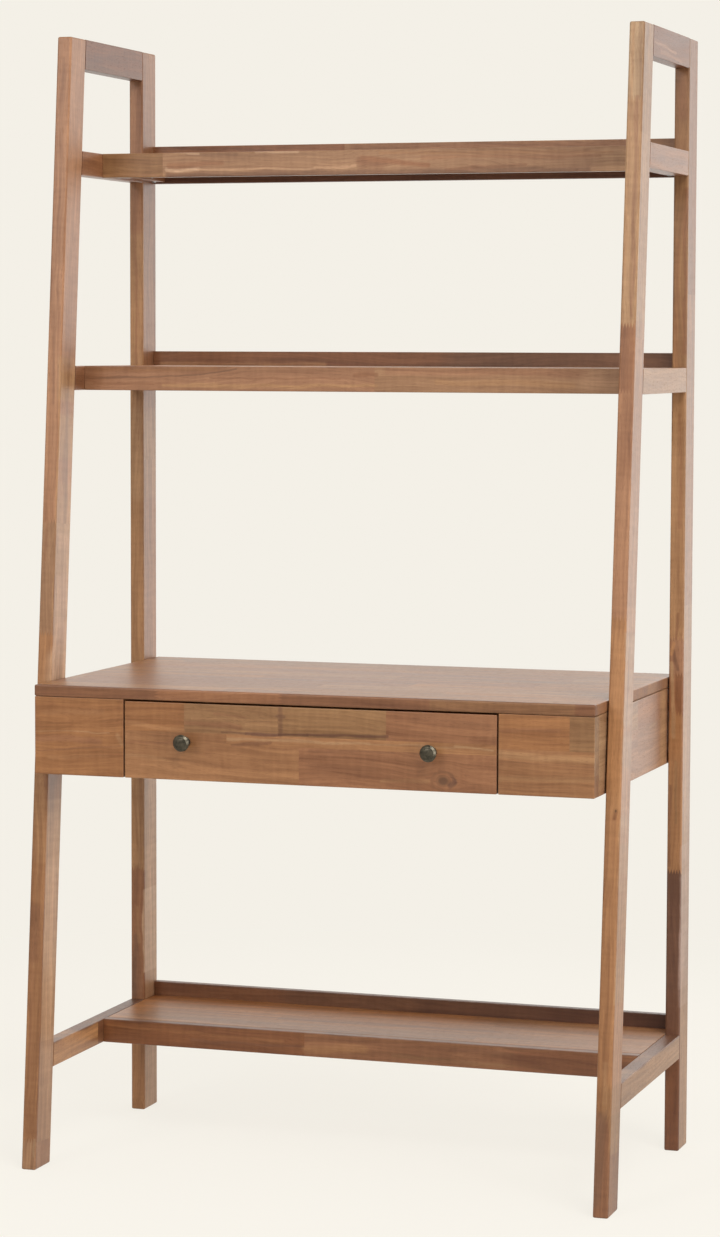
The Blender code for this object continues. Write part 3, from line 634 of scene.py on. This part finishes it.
for seed, (shelf, staves) in enumerate(SHELF_FRONT_STAVES.items(), SHELF_SEED):
    front_lay = laid(-SPAN_END, (staves,))
    front_oil = wood(shelf + "_front_board_oil", "XZY", front_lay, (), SHELF_FRONT_STREAKS_AND_SHADING[shelf])
    dress(shelf + "_shelf_front_board", front_oil)
    lip_lay = laid(-SPAN_END, (SHELF_LIP_STAVES_AND_SHADE[shelf],))
    lip_oil = wood(shelf + "_back_board_oil", "XZY", lip_lay, (), SHELF_LIP_STREAKS_AND_SHADE[shelf])
    dress(shelf + "_shelf_back_board", lip_oil)
    panel_lay = scattered(*SHELF_STAVE, seed, SHELF_TONES)
    panel_oil = wood(shelf + "_panel_oil", "XYZ", panel_lay, (), SHELF_PANEL_WARMTH_AND_LIGHT[shelf])
    dress(shelf + "_shelf_panel", panel_oil)

# Shelf cleats. A batten under each end of a shelf, glued and screwed to the panel and bolted
# to the side rail from inside.
SIDES = ("left", "right")
CLEAT_STAVE = (0.030, 0.40)
CLEAT_SEED = 5
CLEAT_TONES = ("russet", "chestnut", "amber")
cleat_oil = wood("cleat_oil", "YZX", scattered(*CLEAT_STAVE, CLEAT_SEED, CLEAT_TONES))
for shelf in SHELF_FRONT_STAVES:
    for side in SIDES:
        dress(shelf + "_shelf_cleat_" + side, cleat_oil)

# Desk box. The top, sides, back and dividers are edge-glued panels. The front panels are cut
# from wider staves, with the grain running on from the drawer front between them. Bolts from
# inside hold the box to the legs.
TOP_STAVE = (0.055, 0.40)
TOP_SEED = 8
TOP_TONES = ("amber", "russet", "honey", "amber", "tan", "russet")
TOP_FRONT_STAVES = ((-0.245, "chestnut"), (-0.040, "russet"), (SPAN_END, "chestnut"))
TOP_FRONT_WIDTH = 0.0135
TOP_STREAKS = (((0.20, -0.2500), (0.42, -0.2500), 0.0060, "olive", 0.6),)


def edged(edge, front, rest):
    """One laid row up to an edge, and other staves beyond it."""
    def lay(tree, along, across):
        beyond = calc(tree, "GREATER_THAN", across, edge)
        return tint(tree, beyond, front(tree, along, across), rest(tree, along, across))
    return lay


top_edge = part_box("desk_top")[0].y + TOP_FRONT_WIDTH
top_front = laid(-SPAN_END, (TOP_FRONT_STAVES,))
top_lay = edged(top_edge, top_front, scattered(*TOP_STAVE, TOP_SEED, TOP_TONES))
dress("desk_top", wood("desk_top_oil", "XYZ", top_lay, (), TOP_STREAKS))

BOX_STAVE = (0.047, 0.36)
BACK_SEED = 17
BACK_TONES = ("russet", "amber", "rose", "honey")
SIDE_SEED = 21
SIDE_TONES = ("rose", "fawn", "rose", "russet")
SIDE_STREAKS_AND_LIGHT = (
    ((0.095, 0.7085), (0.135, 0.7105), 0.0045, "straw", 0.6),
    # Painted light: an oat patch pales the side near the front leg, and a straw band lightens it in the
    # shade beside the back leg.
    ((-0.240, 0.7000), (-0.225, 0.7000), 0.0900, "oat", 0.8),
    ((0.190, 0.6550), (0.190, 0.7500), 0.0300, "straw", 0.8),
)
for seed, side in enumerate(SIDES, SIDE_SEED):
    side_lay = scattered(*BOX_STAVE, seed, SIDE_TONES)
    dress("desk_side_" + side, wood("desk_side_oil_" + side, "YZX", side_lay, (), SIDE_STREAKS_AND_LIGHT))
    dress("drawer_divider_" + side, wood("divider_oil_" + side, "YZX", side_lay))
dress("desk_back", wood("desk_back_oil", "XZY", scattered(*BOX_STAVE, BACK_SEED, BACK_TONES)))

PANEL_END = 0.300
LEFT_PANEL_STAVES = ((-PANEL_END, "amber"),)
LEFT_PANEL_STREAKS = (
    ((-0.452, 0.7030), (-0.328, 0.7050), 0.0016, "straw", 0.5),
    ((-0.314, 0.7020), (-0.307, 0.6900), 0.0055, "wheat", 0.7),
    ((-0.449, 0.6745), (-0.310, 0.6860), 0.0026, "chestnut", 0.5),
    ((-0.430, 0.6640), (-0.330, 0.6690), 0.0050, "honey", 0.5),
    ((-0.440, 0.7350), (-0.340, 0.7400), 0.0060, "tan", 0.5),
    ((-0.450, 0.6930), (-0.345, 0.6920), 0.0080, "russet", 0.8),
)
RIGHT_PANEL_ROWS = (
    ((SPAN_END, "tan"),),
    ((0.4190, "amber"), (SPAN_END, "olive")),
)
RIGHT_PANEL_EDGES = (0.7055,)
RIGHT_PANEL_STREAKS_AND_LIGHT = (
    ((0.300, 0.6965), (0.460, 0.6945), 0.0085, "wheat", 0.9),
    ((0.305, 0.6860), (0.453, 0.6830), 0.0020, "chestnut", 0.45),
    ((0.300, 0.6600), (0.460, 0.6650), 0.0060, "olive", 0.5),
    ((0.310, 0.7330), (0.400, 0.7380), 0.0050, "russet", 0.5),
    # Painted light: this oat streak lightens the panel's right end face beside the leg.
    ((0.456, 0.6700), (0.456, 0.7570), 0.0036, "oat", 0.75),
)
left_lay = laid(-SPAN_END, (LEFT_PANEL_STAVES,))
dress("front_panel_left", wood("front_panel_oil_left", "XZY", left_lay, (), LEFT_PANEL_STREAKS))
right_lay = laid(PANEL_END, RIGHT_PANEL_ROWS, RIGHT_PANEL_EDGES)
dress("front_panel_right", wood("front_panel_oil_right", "XZY", right_lay, (), RIGHT_PANEL_STREAKS_AND_LIGHT))

# Drawer front. One board of three rows of staves, the widest at the top, with a knot low on the
# right. Screws from inside hold it to the drawer box.
DRAWER_END = 0.310
DRAWER_FRONT_ROWS = (
    ((-0.0105, "tan"), (DRAWER_END, "russet")),
    ((-0.130, "tan"), (DRAWER_END, "honey")),
    ((-0.2005, "amber"), (-0.0440, "olive"), (0.1300, "sage"), (DRAWER_END, "russet")),
)
DRAWER_FRONT_EDGES = (0.6945, 0.7110)
DRAWER_FRONT_KNOTS = ((0.2185, 0.6528, 0.0078),)
DRAWER_FRONT_STREAKS = (
    ((-0.140, 0.7134), (-0.100, 0.7136), 0.0024, "umber", 0.7),
    ((-0.100, 0.7136), (-0.044, 0.7136), 0.0036, "umber", 0.95),
    ((-0.090, 0.7130), (0.000, 0.7145), 0.0036, "umber", 0.85),
    ((0.000, 0.7158), (0.129, 0.7180), 0.0034, "umber", 0.85),
    ((-0.130, 0.7040), (0.100, 0.7050), 0.0040, "straw", 0.75),
    ((0.100, 0.7040), (0.236, 0.7045), 0.0026, "straw", 0.6),
    ((0.236, 0.7060), (0.296, 0.7015), 0.0026, "straw", 0.9),
    ((-0.0440, 0.7560), (-0.0435, 0.7140), 0.0060, "umber", 0.6),
    ((-0.0490, 0.7413), (-0.0380, 0.7405), 0.0045, "umber", 0.6),
    ((-0.199, 0.7260), (-0.110, 0.7230), 0.0070, "chestnut", 0.7),
    ((-0.152, 0.7415), (-0.104, 0.7390), 0.0030, "chestnut", 0.6),
    ((-0.190, 0.7330), (-0.050, 0.7350), 0.0022, "wheat", 0.5),
    ((-0.100, 0.7270), (-0.050, 0.7290), 0.0040, "wheat", 0.5),
    ((-0.300, 0.7215), (-0.205, 0.7120), 0.0055, "apricot", 0.6),
    ((-0.300, 0.6935), (-0.222, 0.6935), 0.0035, "russet", 0.7),
    ((-0.300, 0.6710), (-0.235, 0.6700), 0.0040, "wheat", 0.6),
    ((-0.123, 0.6945), (-0.060, 0.7000), 0.0040, "chestnut", 0.8),
    ((0.003, 0.6900), (0.140, 0.6920), 0.0030, "chestnut", 0.6),
    ((0.003, 0.6660), (0.110, 0.6640), 0.0080, "chestnut", 0.3),
    ((0.175, 0.7440), (0.285, 0.7420), 0.0120, "chestnut", 0.5),
    ((0.2290, 0.6475), (0.2360, 0.6520), 0.0062, "umber", 0.9),
    ((0.2375, 0.6520), (0.2310, 0.6610), 0.0042, "umber", 0.6),
    ((0.2310, 0.6620), (0.2120, 0.6680), 0.0046, "chestnut", 0.6),
    ((0.2060, 0.6610), (0.2030, 0.6500), 0.0046, "chestnut", 0.5),
    ((0.120, 0.6480), (0.195, 0.6500), 0.0045, "wheat", 0.5),
)
drawer_front_lay = laid(-DRAWER_END, DRAWER_FRONT_ROWS, DRAWER_FRONT_EDGES)
drawer_front_marks = (DRAWER_FRONT_KNOTS, DRAWER_FRONT_STREAKS)
dress("drawer_front", wood("drawer_front_oil", "XZY", drawer_front_lay, *drawer_front_marks))

# Drawer box. Pale hardwood boards, finger-jointed at the corners and left with a thin clear
# seal. The plywood bottom is let into grooves in them.
WOOD_TONES.update(
    pale=(0.560, 0.400, 0.235, 1.0),
    cream=(0.610, 0.455, 0.280, 1.0),
    sand=(0.520, 0.355, 0.200, 1.0),
)
DRAWER_STAVE = (0.045, 0.30)
DRAWER_RUN_SEED = 31
DRAWER_SIDE_SEED = 33
DRAWER_TONES = ("pale", "cream", "sand", "cream")
PLY_SHEET = (0.60, 3.0)
PLY_SEED = 2
PLY_TONES = ("cream", "pale")
drawer_run = wood("drawer_box_seal_x", "XZY", scattered(*DRAWER_STAVE, DRAWER_RUN_SEED, DRAWER_TONES))
drawer_side = wood("drawer_box_seal_y", "YZX", scattered(*DRAWER_STAVE, DRAWER_SIDE_SEED, DRAWER_TONES))
for node in ("drawer_inner_front", "drawer_back"):
    dress(node, drawer_run)
for side in SIDES:
    dress("drawer_side_" + side, drawer_side)
dress("drawer_bottom", wood("drawer_bottom_ply", "XYZ", scattered(*PLY_SHEET, PLY_SEED, PLY_TONES)))

# Runners, bolts and screws. The runners are cold-rolled channels, and the bolts and the knobs'
# screws are turned from rod. All are steel with a bright zinc plate, rubbed by use.
ZINC_BRIGHT = (0.60, 0.61, 0.62, 1.0)
ZINC_DULL = (0.42, 0.43, 0.44, 1.0)
RUNNER_RUB = (900.0, 12.0, 900.0)
BOLT_RUB = (300.0, 300.0, 300.0)
PATCH_COUNTS = (60.0, 60.0, 60.0)
PATCH_DETAIL = 3.0
PATCH_WEIGHT = 0.5
RUB_WEIGHT = 0.6
BRIGHT_EDGE = (0.3, 0.8)
PLATE_ROUGHNESS = (0.25, 0.20)
PLATE_RELIEF = {"Strength": 0.15, "Distance": 0.0001}


def metal(name, bright, dull, rubbing):
    """A metal finish with cloudy patches, and with rubbed streaks of so many per metre on each axis."""
    material = bpy.data.materials.new(name)
    material.use_nodes = True
    tree = material.node_tree
    skin = tree.nodes["Principled BSDF"]
    skin.inputs["Metallic"].default_value = 1.0
    place = shade(tree, "TexCoord", {}).outputs["Object"]
    patch = cloud(tree, place, PATCH_COUNTS, PATCH_DETAIL)[0]
    rub = cloud(tree, place, rubbing)[0]
    mixed = calc(tree, "MULTIPLY_ADD", rub, RUB_WEIGHT, calc(tree, "MULTIPLY", patch, PATCH_WEIGHT))
    feed(tree, skin.inputs["Base Color"], tint(tree, fade(tree, mixed, *BRIGHT_EDGE), dull, bright))
    feed(tree, skin.inputs["Roughness"], calc(tree, "MULTIPLY_ADD", mixed, *PLATE_ROUGHNESS))
    relief = {"Height": rub, **PLATE_RELIEF}
    feed(tree, skin.inputs["Normal"], shade(tree, "Bump", relief).outputs[0])
    return material


runner_zinc = metal("runner_zinc", ZINC_BRIGHT, ZINC_DULL, RUNNER_RUB)
bolt_zinc = metal("bolt_zinc", ZINC_BRIGHT, ZINC_DULL, BOLT_RUB)
for side in SIDES:
    for member in ("outer", "middle", "inner"):
        dress("runner_" + member + "_" + side, runner_zinc)
    dress("knob_screw_" + side, bolt_zinc)
    for end in ("front", "back"):
        for level in ("lower", "upper"):
            dress("desk_bolt_" + end + "_" + side + "_" + level, bolt_zinc)

# Fastener heads. Two socket-headed bolts hold each shelf cleat to its rail, and two cross-headed
# screws go up through it into the panel. The same screws hold the drawer front, from inside, and
# the runners' inner members. All are steel with a bright zinc plate.
BOLT = {
    "Radius": 0.0065,
    "Height": 0.0026,
    "Recess Arms": 3,
    "Recess": 0.0031,
    "Recess Inner": 0.0031,
    "Recess Depth": 0.0018,
}
SCREW = {
    "Radius": 0.0041,
    "Height": 0.0019,
    "Recess Arms": 4,
    "Recess": 0.0025,
    "Recess Inner": 0.0008,
    "Recess Depth": 0.0011,
}
HEAD_SIDES = 40
HEAD_RINGS = 6
HEAD_ROUNDING = 0.7
HEAD_SINK = 0.0001
HEAD_ARRIS = math.radians(35.0)
CLEAT_BOLTS = (0.30, 0.70)
CLEAT_SCREWS = (0.12, 0.88)
FRONT_SCREW_SPREAD = 0.110
FRONT_SCREW_RISES = (0.22, 0.78)
RUNNER_SCREWS = (0.12, 0.62)
RUNNER_WEB = 0.0012


def make_heads():
    """Sets a domed head with a star-shaped recess on each point, turned the way that the point faces."""
    tree = bpy.data.node_groups.new("fastener_heads", "GeometryNodeTree")
    sockets = [("Points", "Geometry"), ("Recess Arms", "Int"), ("Finish", "Material")]
    sockets += [(name, "Float") for name in ("Radius", "Height", "Recess", "Recess Inner", "Recess Depth")]
    for name, kind in sockets:
        tree.interface.new_socket(name, in_out="INPUT", socket_type="NodeSocket" + kind)
    tree.interface.new_socket("Heads", in_out="OUTPUT", socket_type="NodeSocketGeometry")
    given = tree.nodes.new("NodeGroupInput").outputs
    drum = {
        "Vertices": HEAD_SIDES,
        "Side Segments": HEAD_RINGS,
        "Radius": given["Radius"],
        "Depth": given["Height"],
    }
    head = plant(tree, "GeometryNodeMeshCylinder", drum, fill_type="NGON").outputs["Mesh"]
    place = plant(tree, "GeometryNodeInputPosition", {}).outputs[0]
    axes = shade(tree, "SeparateXYZ", {0: place}).outputs
    rise = calc(tree, "ADD", calc(tree, "DIVIDE", axes[2], given["Height"]), 0.5)
    slope = calc(tree, "MULTIPLY", rise, HEAD_ROUNDING)
    narrow = calc(tree, "SQRT", calc(tree, "SUBTRACT", 1.0, calc(tree, "MULTIPLY", slope, slope)))
    domed = {0: calc(tree, "MULTIPLY", axes[0], narrow), 1: calc(tree, "MULTIPLY", axes[1], narrow)}
    domed[2] = calc(tree, "MULTIPLY_ADD", rise, given["Height"], -HEAD_SINK)
    domed = shade(tree, "CombineXYZ", domed).outputs[0]
    head = plant(tree, "GeometryNodeSetPosition", {"Geometry": head, "Position": domed}).outputs[0]
    star = {
        "Points": given["Recess Arms"],
        "Inner Radius": given["Recess Inner"],
        "Outer Radius": given["Recess"],
    }
    star = plant(tree, "GeometryNodeCurveStar", star).outputs[0]
    floor_height = calc(tree, "SUBTRACT", given["Height"], given["Recess Depth"])
    clear_height = calc(tree, "ADD", given["Height"], given["Recess Depth"])
    ends = [shade(tree, "CombineXYZ", {2: height}).outputs[0] for height in (floor_height, clear_height)]
    line = plant(tree, "GeometryNodeCurvePrimitiveLine", {"Start": ends[0], "End": ends[1]}).outputs[0]
    tool = {"Curve": line, "Profile Curve": star, "Fill Caps": True}
    tool = plant(tree, "GeometryNodeCurveToMesh", tool).outputs[0]
    cut = {"Mesh 1": head, "Mesh 2": tool}
    head = plant(tree, "GeometryNodeMeshBoolean", cut, operation="DIFFERENCE", solver="EXACT").outputs[0]
    facing = {"Name": "facing"}
    facing = plant(tree, "GeometryNodeInputNamedAttribute", facing, data_type="FLOAT_VECTOR").outputs[0]
    turn = plant(tree, "FunctionNodeAlignRotationToVector", {"Vector": facing}, axis="Z").outputs[0]
    placed = {"Points": given["Points"], "Instance": head, "Rotation": turn}
    heads = plant(tree, "GeometryNodeInstanceOnPoints", placed).outputs[0]
    heads = plant(tree, "GeometryNodeRealizeInstances", {"Geometry": heads}).outputs[0]
    finished = {"Geometry": heads, "Material": given["Finish"]}
    heads = plant(tree, "GeometryNodeSetMaterial", finished).outputs[0]
    feed(tree, plant(tree, "NodeGroupOutput", {}).inputs["Heads"], heads)
    return tree


fastener_heads = make_heads()


def set_heads(name, kind, points, body):
    """Makes one piece of the heads at (place, facing) points, and fixes it to a body."""
    places = bpy.data.meshes.new(name + "_places")
    places.from_pydata([place for place, facing in points], [], [])
    facings = places.attributes.new("facing", "FLOAT_VECTOR", "POINT")
    facings.data.foreach_set("vector", [part for place, facing in points for part in facing])
    piece = bpy.data.objects.new(name, places)
    bpy.context.scene.collection.objects.link(piece)
    modifier = piece.modifiers.new("heads", "NODES")
    modifier.node_group = fastener_heads
    chosen = {"Finish": bolt_zinc, **kind}
    for socket in fastener_heads.interface.items_tree:
        if socket.name in chosen:
            modifier[socket.identifier] = chosen[socket.name]
    graph = bpy.context.evaluated_depsgraph_get()
    mesh = bpy.data.meshes.new_from_object(piece.evaluated_get(graph), depsgraph=graph)
    piece.modifiers.remove(modifier)
    piece.data = mesh
    mesh.shade_smooth()
    mesh.set_sharp_from_angle(angle=HEAD_ARRIS)
    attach(piece, body)


def between(low, high, share):
    """A place part of the way from low to high."""
    return low + share * (high - low)


cleat_bolts, cleat_screws = [], []
for shelf in SHELF_FRONT_STAVES:
    for side, inward in (("left", 1.0), ("right", -1.0)):
        low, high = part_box(shelf + "_shelf_cleat_" + side)
        inner = high.x if inward > 0 else low.x
        middle = (low + high) / 2
        for share in CLEAT_BOLTS:
            cleat_bolts.append(((inner, between(low.y, high.y, share), middle.z), (inward, 0.0, 0.0)))
        for share in CLEAT_SCREWS:
            cleat_screws.append(((middle.x, between(low.y, high.y, share), low.z), (0.0, 0.0, -1.0)))
set_heads("shelf_cleat_bolts", BOLT, cleat_bolts, "desk")
set_heads("shelf_cleat_screws", SCREW, cleat_screws, "desk")

drawer_screws = []
low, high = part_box("drawer_inner_front")
for spread in (-FRONT_SCREW_SPREAD, FRONT_SCREW_SPREAD):
    for share in FRONT_SCREW_RISES:
        drawer_screws.append(((spread, high.y, between(low.z, high.z, share)), (0.0, 1.0, 0.0)))
for side, outward in (("left", -1.0), ("right", 1.0)):
    low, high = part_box("runner_inner_" + side)
    web = high.x - RUNNER_WEB if outward < 0 else low.x + RUNNER_WEB
    for share in RUNNER_SCREWS:
        place = (web, between(low.y, high.y, share), (low.z + high.z) / 2)
        drawer_screws.append((place, (outward, 0.0, 0.0)))
set_heads("drawer_screws", SCREW, drawer_screws, "drawer")

# Knobs. Turned brass with a dark bronze patina: a small foot, a waisted neck and a flared head
# with a wide bevel round its face, which has a fine ring and a shallow crown. A screw through
# the drawer front holds each one.
KNOB_BRIGHT = (0.150, 0.130, 0.095, 1.0)
KNOB_DARK = (0.050, 0.046, 0.036, 1.0)
KNOB_RUB = (200.0, 200.0, 200.0)
KNOB_FOOT_RADIUS = 0.0082
KNOB_FOOT = 0.003
KNOB_FOOT_EDGE = 0.0006
KNOB_NECK_RADIUS = 0.0058
KNOB_COVE = 0.0022
KNOB_FLARE = 0.0065
KNOB_RIM = 0.0009
KNOB_BEVEL = 0.0030
KNOB_BEVEL_ANGLE = 54.0
KNOB_FACE_RADIUS = 0.0098
KNOB_CROWN = 0.0012
KNOB_RING_RADIUS = 0.0078
KNOB_RING_WIDTH = 0.0004
KNOB_RING_DEPTH = 0.0002
KNOB_BORE_RADIUS = 0.0023
KNOB_BORE = 0.0115
KNOB_SIDES = 96
KNOB_ARC_STEPS = 12
KNOB_FACE_STEPS = 24
KNOB_ARRIS = math.radians(16.0)
KNOB_MERGE = 1e-6


def arc(centre, reach, start, end):
    """Points round part of an ellipse, by angles in degrees."""
    shares = [step / KNOB_ARC_STEPS for step in range(KNOB_ARC_STEPS + 1)]
    points = []
    for share in shares:
        angle = math.radians(between(start, end, share))
        points.append((centre[0] + reach[0] * math.cos(angle), centre[1] + reach[1] * math.sin(angle)))
    return points


def turn_knob(name, low, high):
    """Spins the knob's profile, in radius and distance from the drawer front, inside its box."""
    radius, reach = (high.x - low.x) / 2, high.y - low.y
    face = reach - KNOB_CROWN
    rim = (radius - KNOB_RIM, face - KNOB_BEVEL)
    edge = (KNOB_FOOT_EDGE, KNOB_FOOT_EDGE)
    edge_centre = KNOB_FOOT_RADIUS - KNOB_FOOT_EDGE
    cove = (edge_centre - KNOB_NECK_RADIUS, KNOB_COVE)
    flare = (rim[0] - KNOB_NECK_RADIUS, KNOB_FLARE)
    profile = [(0.0, KNOB_BORE), (KNOB_BORE_RADIUS, KNOB_BORE), (KNOB_BORE_RADIUS, 0.0)]
    profile += arc((edge_centre, KNOB_FOOT_EDGE), edge, -90.0, 0.0)
    profile += arc((edge_centre, KNOB_FOOT - KNOB_FOOT_EDGE), edge, 0.0, 90.0)
    profile += arc((edge_centre, KNOB_FOOT + KNOB_COVE), cove, 270.0, 180.0)[1:]
    profile += arc((rim[0], rim[1] - KNOB_RIM - KNOB_FLARE), flare, 180.0, 90.0)
    profile += arc(rim, (KNOB_RIM, KNOB_RIM), -90.0, KNOB_BEVEL_ANGLE)[1:]
    for step in range(KNOB_FACE_STEPS + 1):
        out = KNOB_FACE_RADIUS * (1.0 - step / KNOB_FACE_STEPS)
        height = between(reach, face, (out / KNOB_FACE_RADIUS) ** 2)
        groove = KNOB_RING_DEPTH * math.exp(-((out - KNOB_RING_RADIUS) / KNOB_RING_WIDTH) ** 2)
        profile.append((out, height - groove))
    shape = bmesh.new()
    centre = (low + high) / 2
    points = [shape.verts.new((centre.x + out, high.y - along, centre.z)) for out, along in profile]
    edges = [shape.edges.new(pair) for pair in zip(points, points[1:])]
    axis = {"cent": (centre.x, high.y, centre.z), "axis": (0.0, 1.0, 0.0)}
    bmesh.ops.spin(shape, geom=points + edges, angle=2 * math.pi, steps=KNOB_SIDES, **axis)
    bmesh.ops.remove_doubles(shape, verts=shape.verts, dist=KNOB_MERGE)
    bmesh.ops.recalc_face_normals(shape, faces=shape.faces)
    mesh = bpy.data.meshes.new(name)
    shape.to_mesh(mesh)
    shape.free()
    mesh.shade_smooth()
    mesh.set_sharp_from_angle(angle=KNOB_ARRIS)
    piece = bpy.data.objects.new(name, mesh)
    bpy.context.scene.collection.objects.link(piece)
    return piece


knob_bronze = metal("knob_bronze", KNOB_BRIGHT, KNOB_DARK, KNOB_RUB)
for side in SIDES:
    knob = turn_knob("turned_knob_" + side, *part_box("knob_" + side))
    knob.data.materials.append(knob_bronze)
    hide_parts("knob_" + side)
    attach(knob, "drawer")

# Studio. A pale floor that runs out into an even cream background, a large soft lamp high up in
# front on the right, weaker lamps on both sides and behind, and the camera where the photograph
# was taken from.
CREAM = (0.904, 0.871, 0.799, 1.0)
FLOOR_REACH = 9.0
FLOOR_CORNERS = ((-1, -1), (1, -1), (1, 1), (-1, 1))
PAPER_COLOUR = (0.60, 0.58, 0.54, 1.0)
PAPER_FADE = (0.8, 2.2)
PAPER_GLOW = 1.16
PAPER_SHARE = 0.78
PAPER_MIRRORED = (-1.5, 0.0)
floor_mesh = bpy.data.meshes.new("floor")
corners = [(x * FLOOR_REACH, y * FLOOR_REACH, 0.0) for x, y in FLOOR_CORNERS]
floor_mesh.from_pydata(corners, [], [(0, 1, 2, 3)])
floor = bpy.data.objects.new("floor", floor_mesh)
bpy.context.scene.collection.objects.link(floor)
paper = bpy.data.materials.new("studio_paper")
paper.use_nodes = True
tree = paper.node_tree
tree.nodes.clear()
place = shade(tree, "TexCoord", {}).outputs["Object"]
reach = measure(tree, "LENGTH", place)
lit = shade(tree, "BsdfDiffuse", {"Color": PAPER_COLOUR})
strength = fade(tree, reach, *PAPER_FADE, PAPER_GLOW, 1.0)
glow = shade(tree, "Emission", {"Color": CREAM, "Strength": strength})
ray = shade(tree, "LightPath", {}).outputs
behind = fade(tree, shade(tree, "SeparateXYZ", {0: place}).outputs[1], *PAPER_MIRRORED)
mirrored = calc(tree, "MULTIPLY", ray["Is Glossy Ray"], behind)
seen = calc(tree, "MAXIMUM", ray["Is Camera Ray"], mirrored)
share = calc(tree, "MULTIPLY", seen, fade(tree, reach, *PAPER_FADE, PAPER_SHARE, 1.0))
mixed = shade(tree, "MixShader", {0: share, 1: lit.outputs[0], 2: glow.outputs[0]})
feed(tree, shade(tree, "OutputMaterial", {}).inputs["Surface"], mixed.outputs[0])
floor_mesh.materials.append(paper)

FILL_COLOUR = (1.0, 0.98, 0.95, 1.0)
FILL_STRENGTH = 0.5
DIM_EDGE = (0.1, -0.6)
DIM_STRENGTH = 0.5
world = bpy.data.worlds.new("studio")
bpy.context.scene.world = world
world.use_nodes = True
tree = world.node_tree
tree.nodes.clear()
ray = shade(tree, "LightPath", {}).outputs
seen = calc(tree, "MAXIMUM", ray["Is Camera Ray"], ray["Is Glossy Ray"])
seen = calc(tree, "MAXIMUM", seen, ray["Is Transmission Ray"])
fill = shade(tree, "Background", {"Color": FILL_COLOUR, "Strength": FILL_STRENGTH})
sky = shade(tree, "TexCoord", {}).outputs["Generated"]
depth = shade(tree, "SeparateXYZ", {0: sky}).outputs[1]
not_camera = calc(tree, "SUBTRACT", 1.0, ray["Is Camera Ray"])
dimmed = calc(tree, "MULTIPLY", not_camera, fade(tree, depth, *DIM_EDGE, 0.0, DIM_STRENGTH))
strength = calc(tree, "SUBTRACT", 1.0, dimmed)
backdrop = shade(tree, "Background", {"Color": CREAM, "Strength": strength})
mixed = shade(tree, "MixShader", {0: seen, 1: fill.outputs[0], 2: backdrop.outputs[0]})
feed(tree, shade(tree, "OutputWorld", {}).inputs["Surface"], mixed.outputs[0])

# Each lamp has its place, the point that it faces, its size and its power.
LAMPS = {
    "key_lamp": ((3.8, -4.2, 6.6), (0.0, 0.0, 1.0), 3.6, 300.0),
    "front_lamp": ((-1.75, -4.9, 3.2), (0.0, 0.0, 1.2), 1.6, 60.0),
    "side_lamp": ((6.2, -3.6, 1.5), (0.0, 0.0, 0.8), 2.8, 130.0),
    "rim_lamp": ((1.0, 3.4, 1.3), (-0.2, 0.0, 1.0), 2.8, 27.0),
    "back_lamp": ((-1.4, 4.4, 1.4), (0.0, 0.0, 0.8), 3.6, 17.0),
}
for name, (place, target, size, power) in LAMPS.items():
    lamp = bpy.data.lights.new(name, "AREA")
    lamp.size = size
    lamp.energy = power
    lamp_object = bpy.data.objects.new(name, lamp)
    lamp_object.location = place
    lamp_object.visible_camera = False
    aim = Vector(target) - Vector(place)
    lamp_object.rotation_euler = aim.to_track_quat("-Z", "Y").to_euler()
    bpy.context.scene.collection.objects.link(lamp_object)

CAMERA_PLACE = (1.734, -5.209, 1.310)
CAMERA_TURN = math.radians(18.395)
CAMERA_PITCH = math.radians(4.527)
CAMERA_ROLL = math.radians(0.176)
LENS = 100.3
camera_data = bpy.data.cameras.new("photo_camera")
camera_data.lens = LENS
camera = bpy.data.objects.new("photo_camera", camera_data)
bpy.context.scene.collection.objects.link(camera)
level = Matrix.Rotation(CAMERA_TURN, 4, "Z") @ Matrix.Rotation(math.pi / 2 - CAMERA_PITCH, 4, "X")
camera.matrix_world = Matrix.Translation(CAMERA_PLACE) @ level @ Matrix.Rotation(CAMERA_ROLL, 4, "Z")
bpy.context.scene.camera = camera
bpy.context.scene.view_settings.view_transform = "Standard"
